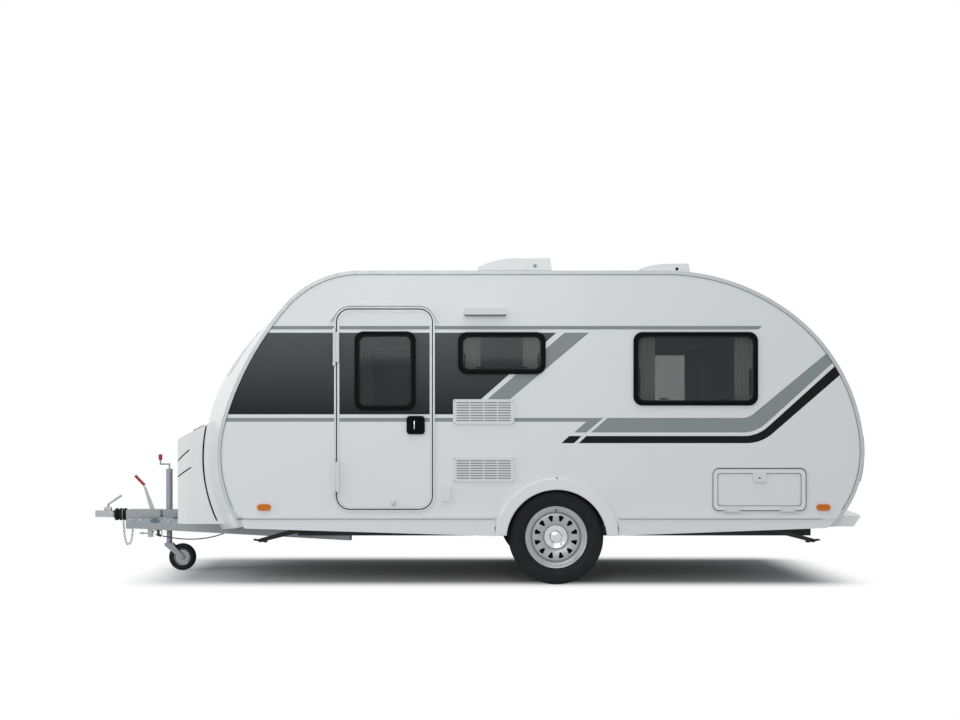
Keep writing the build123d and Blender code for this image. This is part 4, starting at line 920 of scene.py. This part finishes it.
# Rooflights: a round cover on the large one and a knob on the small one, both sides alike: x, z, radius
roofKnobs = {"large": (499, 2226, 13, gauzeAndSlotShade), "small": (1538, 2215, 11, blackFrame)}
for name, (x, z, radius, finish) in roofKnobs.items():
    body = "rooflight_" + name
    knobs = []
    for side in (-1, 1):
        knob = turned(((0, 0.5), (radius, 0.5), (radius, -3), (0.8 * radius, -5), (0.6 * radius, -5),
                       (0.5 * radius, -2.5), (0, -2.5)), "Y", (0, 0, 0), 28)
        knobs.append(seat(knob, *surfaceAt(body + "_lid", (x, side * 900, z), (0, -side, 0))))
    keepPiece(joinPieces(knobs), name + "RooflightKnobs", finish, body)
print("rooflights dressed")

# Rear: two grab handles for pushing by hand
rear = {"y": 860, "z": 1120, "foot": ((-22, -26, -16), (22, 3, 16), 7), "feet": (-75, 75),
        "bar": ((-12, -26, -75), (12, -10, 75), 6)}
low, high, edge = rear["foot"]
for side, word in bothSides:
    handle = [softBlock((*low[:2], low[2] + up), (*high[:2], high[2] + up), edge) for up in rear["feet"]]
    handle.append(softBlock(*rear["bar"]))
    seen = surfaceAt("rear_panel", (4000, side * rear["y"], rear["z"]), (-1, 0, 0))
    keepPiece(seat(joinPieces(handle), *seen), "grabHandle" + word, whiteAbs, "caravan")
print("rear dressed")


# Dark seal line along the inner edge of the edge trim, traced on the trim itself
trimSeal = {"middle": (450, 1200), "rays": 220, "angles": (-40, 220), "bead": 2.2, "lowest": 478}


def tubeAlong(spots, radius):
    # a round bead through the points, made a mesh
    clearSelection()
    bpy.ops.curve.primitive_nurbs_path_add()
    path = bpy.context.object
    path.data.splines.clear()
    line = path.data.splines.new("POLY")
    line.points.add(len(spots) - 1)
    for point, spot in zip(line.points, spots):
        point.co = (*spot, 1)
    path.data.bevel_depth = radius / 1000
    path.data.bevel_resolution = 2
    path.data.use_fill_caps = True
    bpy.ops.object.convert(target="MESH")
    bpy.ops.object.shade_smooth()
    return bpy.context.object


for side, word in bothSides:
    edge = []
    (x, z), (first, last) = trimSeal["middle"], trimSeal["angles"]
    start = Vector((x, side * film["trimDepth"], z)) / 1000
    for step in range(trimSeal["rays"] + 1):
        angle = math.radians(first + (last - first) * step / trimSeal["rays"])
        hit, spot, _, _ = nodes["edge_trims"].ray_cast(start, Vector((math.cos(angle), 0, math.sin(angle))))
        if hit and spot.z > trimSeal["lowest"] / 1000:
            edge.append(spot)
    keepPiece(tubeAlong(edge, trimSeal["bead"]), "trimSeal" + word, softRubber, "caravan")
print("edge trims sealed")

# Gas locker lid: black inserts in its two slanted grooves, and the seal along its rear edge
lidInserts = {"grooves": ((792, 40.8), (691, 32.5)), "front": -2045, "ahead": 60, "run": 166, "reach": 800,
              "width": 7.6, "sunk": 3.4, "edge": 0.5}
half, reach = lidInserts["width"] / 2, lidInserts["reach"]
inserts = []
for z, tilt in lidInserts["grooves"]:
    choose(nodes["gas_locker_lid"])
    bpy.ops.object.duplicate(linked=False)
    form = bpy.context.object
    editMesh(form)
    bpy.ops.mesh.remove_doubles(threshold=0.0001)
    bpy.ops.mesh.convex_hull()
    bpy.ops.mesh.select_all(action="SELECT")
    bpy.ops.mesh.normals_make_consistent(inside=False)
    bpy.ops.transform.shrink_fatten(value=-lidInserts["sunk"] / 1000)
    bpy.ops.object.mode_set(mode="OBJECT")
    run = lidInserts["run"] / math.cos(math.radians(tilt))
    bar = softBlock((-lidInserts["ahead"], -reach, -half), (run, reach, half), lidInserts["edge"], 1)
    bar.data.transform(Matrix.Translation((lidInserts["front"] / 1000, 0, z / 1000))
                       @ Matrix.Rotation(math.radians(-tilt), 4, "Y"))
    cutWith(bar, form, "INTERSECT")
    bpy.data.objects.remove(form)
    inserts.append(bar)
keepPiece(joinPieces(inserts), "lidInserts", softRubber, "caravan")

lidSeal = {"behindLid": -1300, "cheek": 757, "line": 758.5, "from": 425, "to": 1064, "steps": 40, "bead": 5.5,
           "behind": 4}
for side, word in bothSides:
    edge = []
    for step in range(lidSeal["steps"] + 1):
        z = lidSeal["from"] + (lidSeal["to"] - lidSeal["from"]) * step / lidSeal["steps"]
        start = Vector((lidSeal["behindLid"], side * lidSeal["cheek"], z)) / 1000
        hit, spot, _, _ = nodes["gas_locker_lid"].ray_cast(start, Vector((-1, 0, 0)))
        if hit:
            edge.append(Vector((spot.x + lidSeal["behind"] / 1000, side * lidSeal["line"] / 1000, spot.z)))
    keepPiece(tubeAlong(edge, lidSeal["bead"]), "lidSeal" + word, softRubber, "caravan")
print("gas locker sealed")


# Studio: pale floor, white surround, three soft boxes with their place, power and size
studio = {"floor": "#d8d8d8", "floorSize": 80, "floorZ": -0.0006, "middle": (0.2, 0.0, 0.0),
          "half": (2.1, 0.75, 1.0), "fade": 0.55, "ambient": 0.44, "ambientTint": (0.92, 0.96, 1.0, 1),
          "aim": (0, 0, 0.8),
          "lamps": {"topSoftbox": ((0.0, -1.0, 7.0), 230, 7.0), "frontSoftbox": ((-1.0, -12.0, 5.0), 230, 6.0),
                    "noseSoftbox": ((-9.0, -3.5, 4.5), 190, 5.0)}}
white = (1, 1, 1, 1)


def raysThatShow(tree):
    # one for the camera and for what it sees in gloss or through glass
    ray = addNode(tree, "ShaderNodeLightPath")
    shown = ray.outputs["Is Camera Ray"]
    for kind in ("Is Glossy Ray", "Is Transmission Ray"):
        shown = addNode(tree, "ShaderNodeMath", {0: shown, 1: ray.outputs[kind]}, operation="MAXIMUM").outputs[0]
    return shown


clearSelection()
bpy.ops.mesh.primitive_plane_add(size=studio["floorSize"], location=(0, 0, studio["floorZ"]))
floor = bpy.context.object
floor.name = "studioFloor"
floorPaint, tree, shader, place = newMaterial("pale_floor_paint", Roughness=0.9, Specular_IOR_Level=0.1)
shader.inputs["Base Color"].default_value = linear(studio["floor"])
# painted under the footprint, where the shadow lies, and fading to white round it
aside = place
for operation, other in (("SUBTRACT", studio["middle"]), ("ABSOLUTE", (0, 0, 0)), ("SUBTRACT", studio["half"]),
                         ("MAXIMUM", (0, 0, 0))):
    aside = addNode(tree, "ShaderNodeVectorMath", {0: aside, 1: other}, operation=operation).outputs[0]
aside = addNode(tree, "ShaderNodeVectorMath", {0: aside}, operation="LENGTH")
away = addNode(tree, "ShaderNodeMapRange", {"Value": aside.outputs["Value"], "From Min": 0.0,
                                            "From Max": studio["fade"]}, interpolation_type="SMOOTHSTEP")
seen = addNode(tree, "ShaderNodeMath", {0: away.outputs[0], 1: raysThatShow(tree)}, operation="MULTIPLY")
glow = addNode(tree, "ShaderNodeEmission", {"Color": white, "Strength": 1.0})
blend = addNode(tree, "ShaderNodeMixShader", {0: seen.outputs[0], 1: shader.outputs[0], 2: glow.outputs[0]})
tree.links.new(blend.outputs[0], tree.nodes["Material Output"].inputs["Surface"])
floor.data.materials.append(floorPaint)
floor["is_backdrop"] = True

world = bpy.data.worlds.new("studioSurround")
scene.world = world
world.use_nodes = True
tree = world.node_tree
backdrop = addNode(tree, "ShaderNodeBackground", {"Color": white, "Strength": 1.0})
ambient = tree.nodes["Background"]
ambient.inputs["Color"].default_value = studio["ambientTint"]
ambient.inputs["Strength"].default_value = studio["ambient"]
both = addNode(tree, "ShaderNodeMixShader", {0: raysThatShow(tree), 1: ambient.outputs[0],
                                             2: backdrop.outputs[0]})
tree.links.new(both.outputs[0], tree.nodes["World Output"].inputs["Surface"])

for name, (spot, power, size) in studio["lamps"].items():
    clearSelection()
    bpy.ops.object.light_add(type="AREA", location=spot)
    lamp = bpy.context.object
    lamp.name = name
    lamp.data.energy = power
    lamp.data.size = size
    lamp.rotation_euler = (Vector(studio["aim"]) - lamp.location).to_track_quat("-Z", "Y").to_euler()
print("studio lit")

low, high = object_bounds()
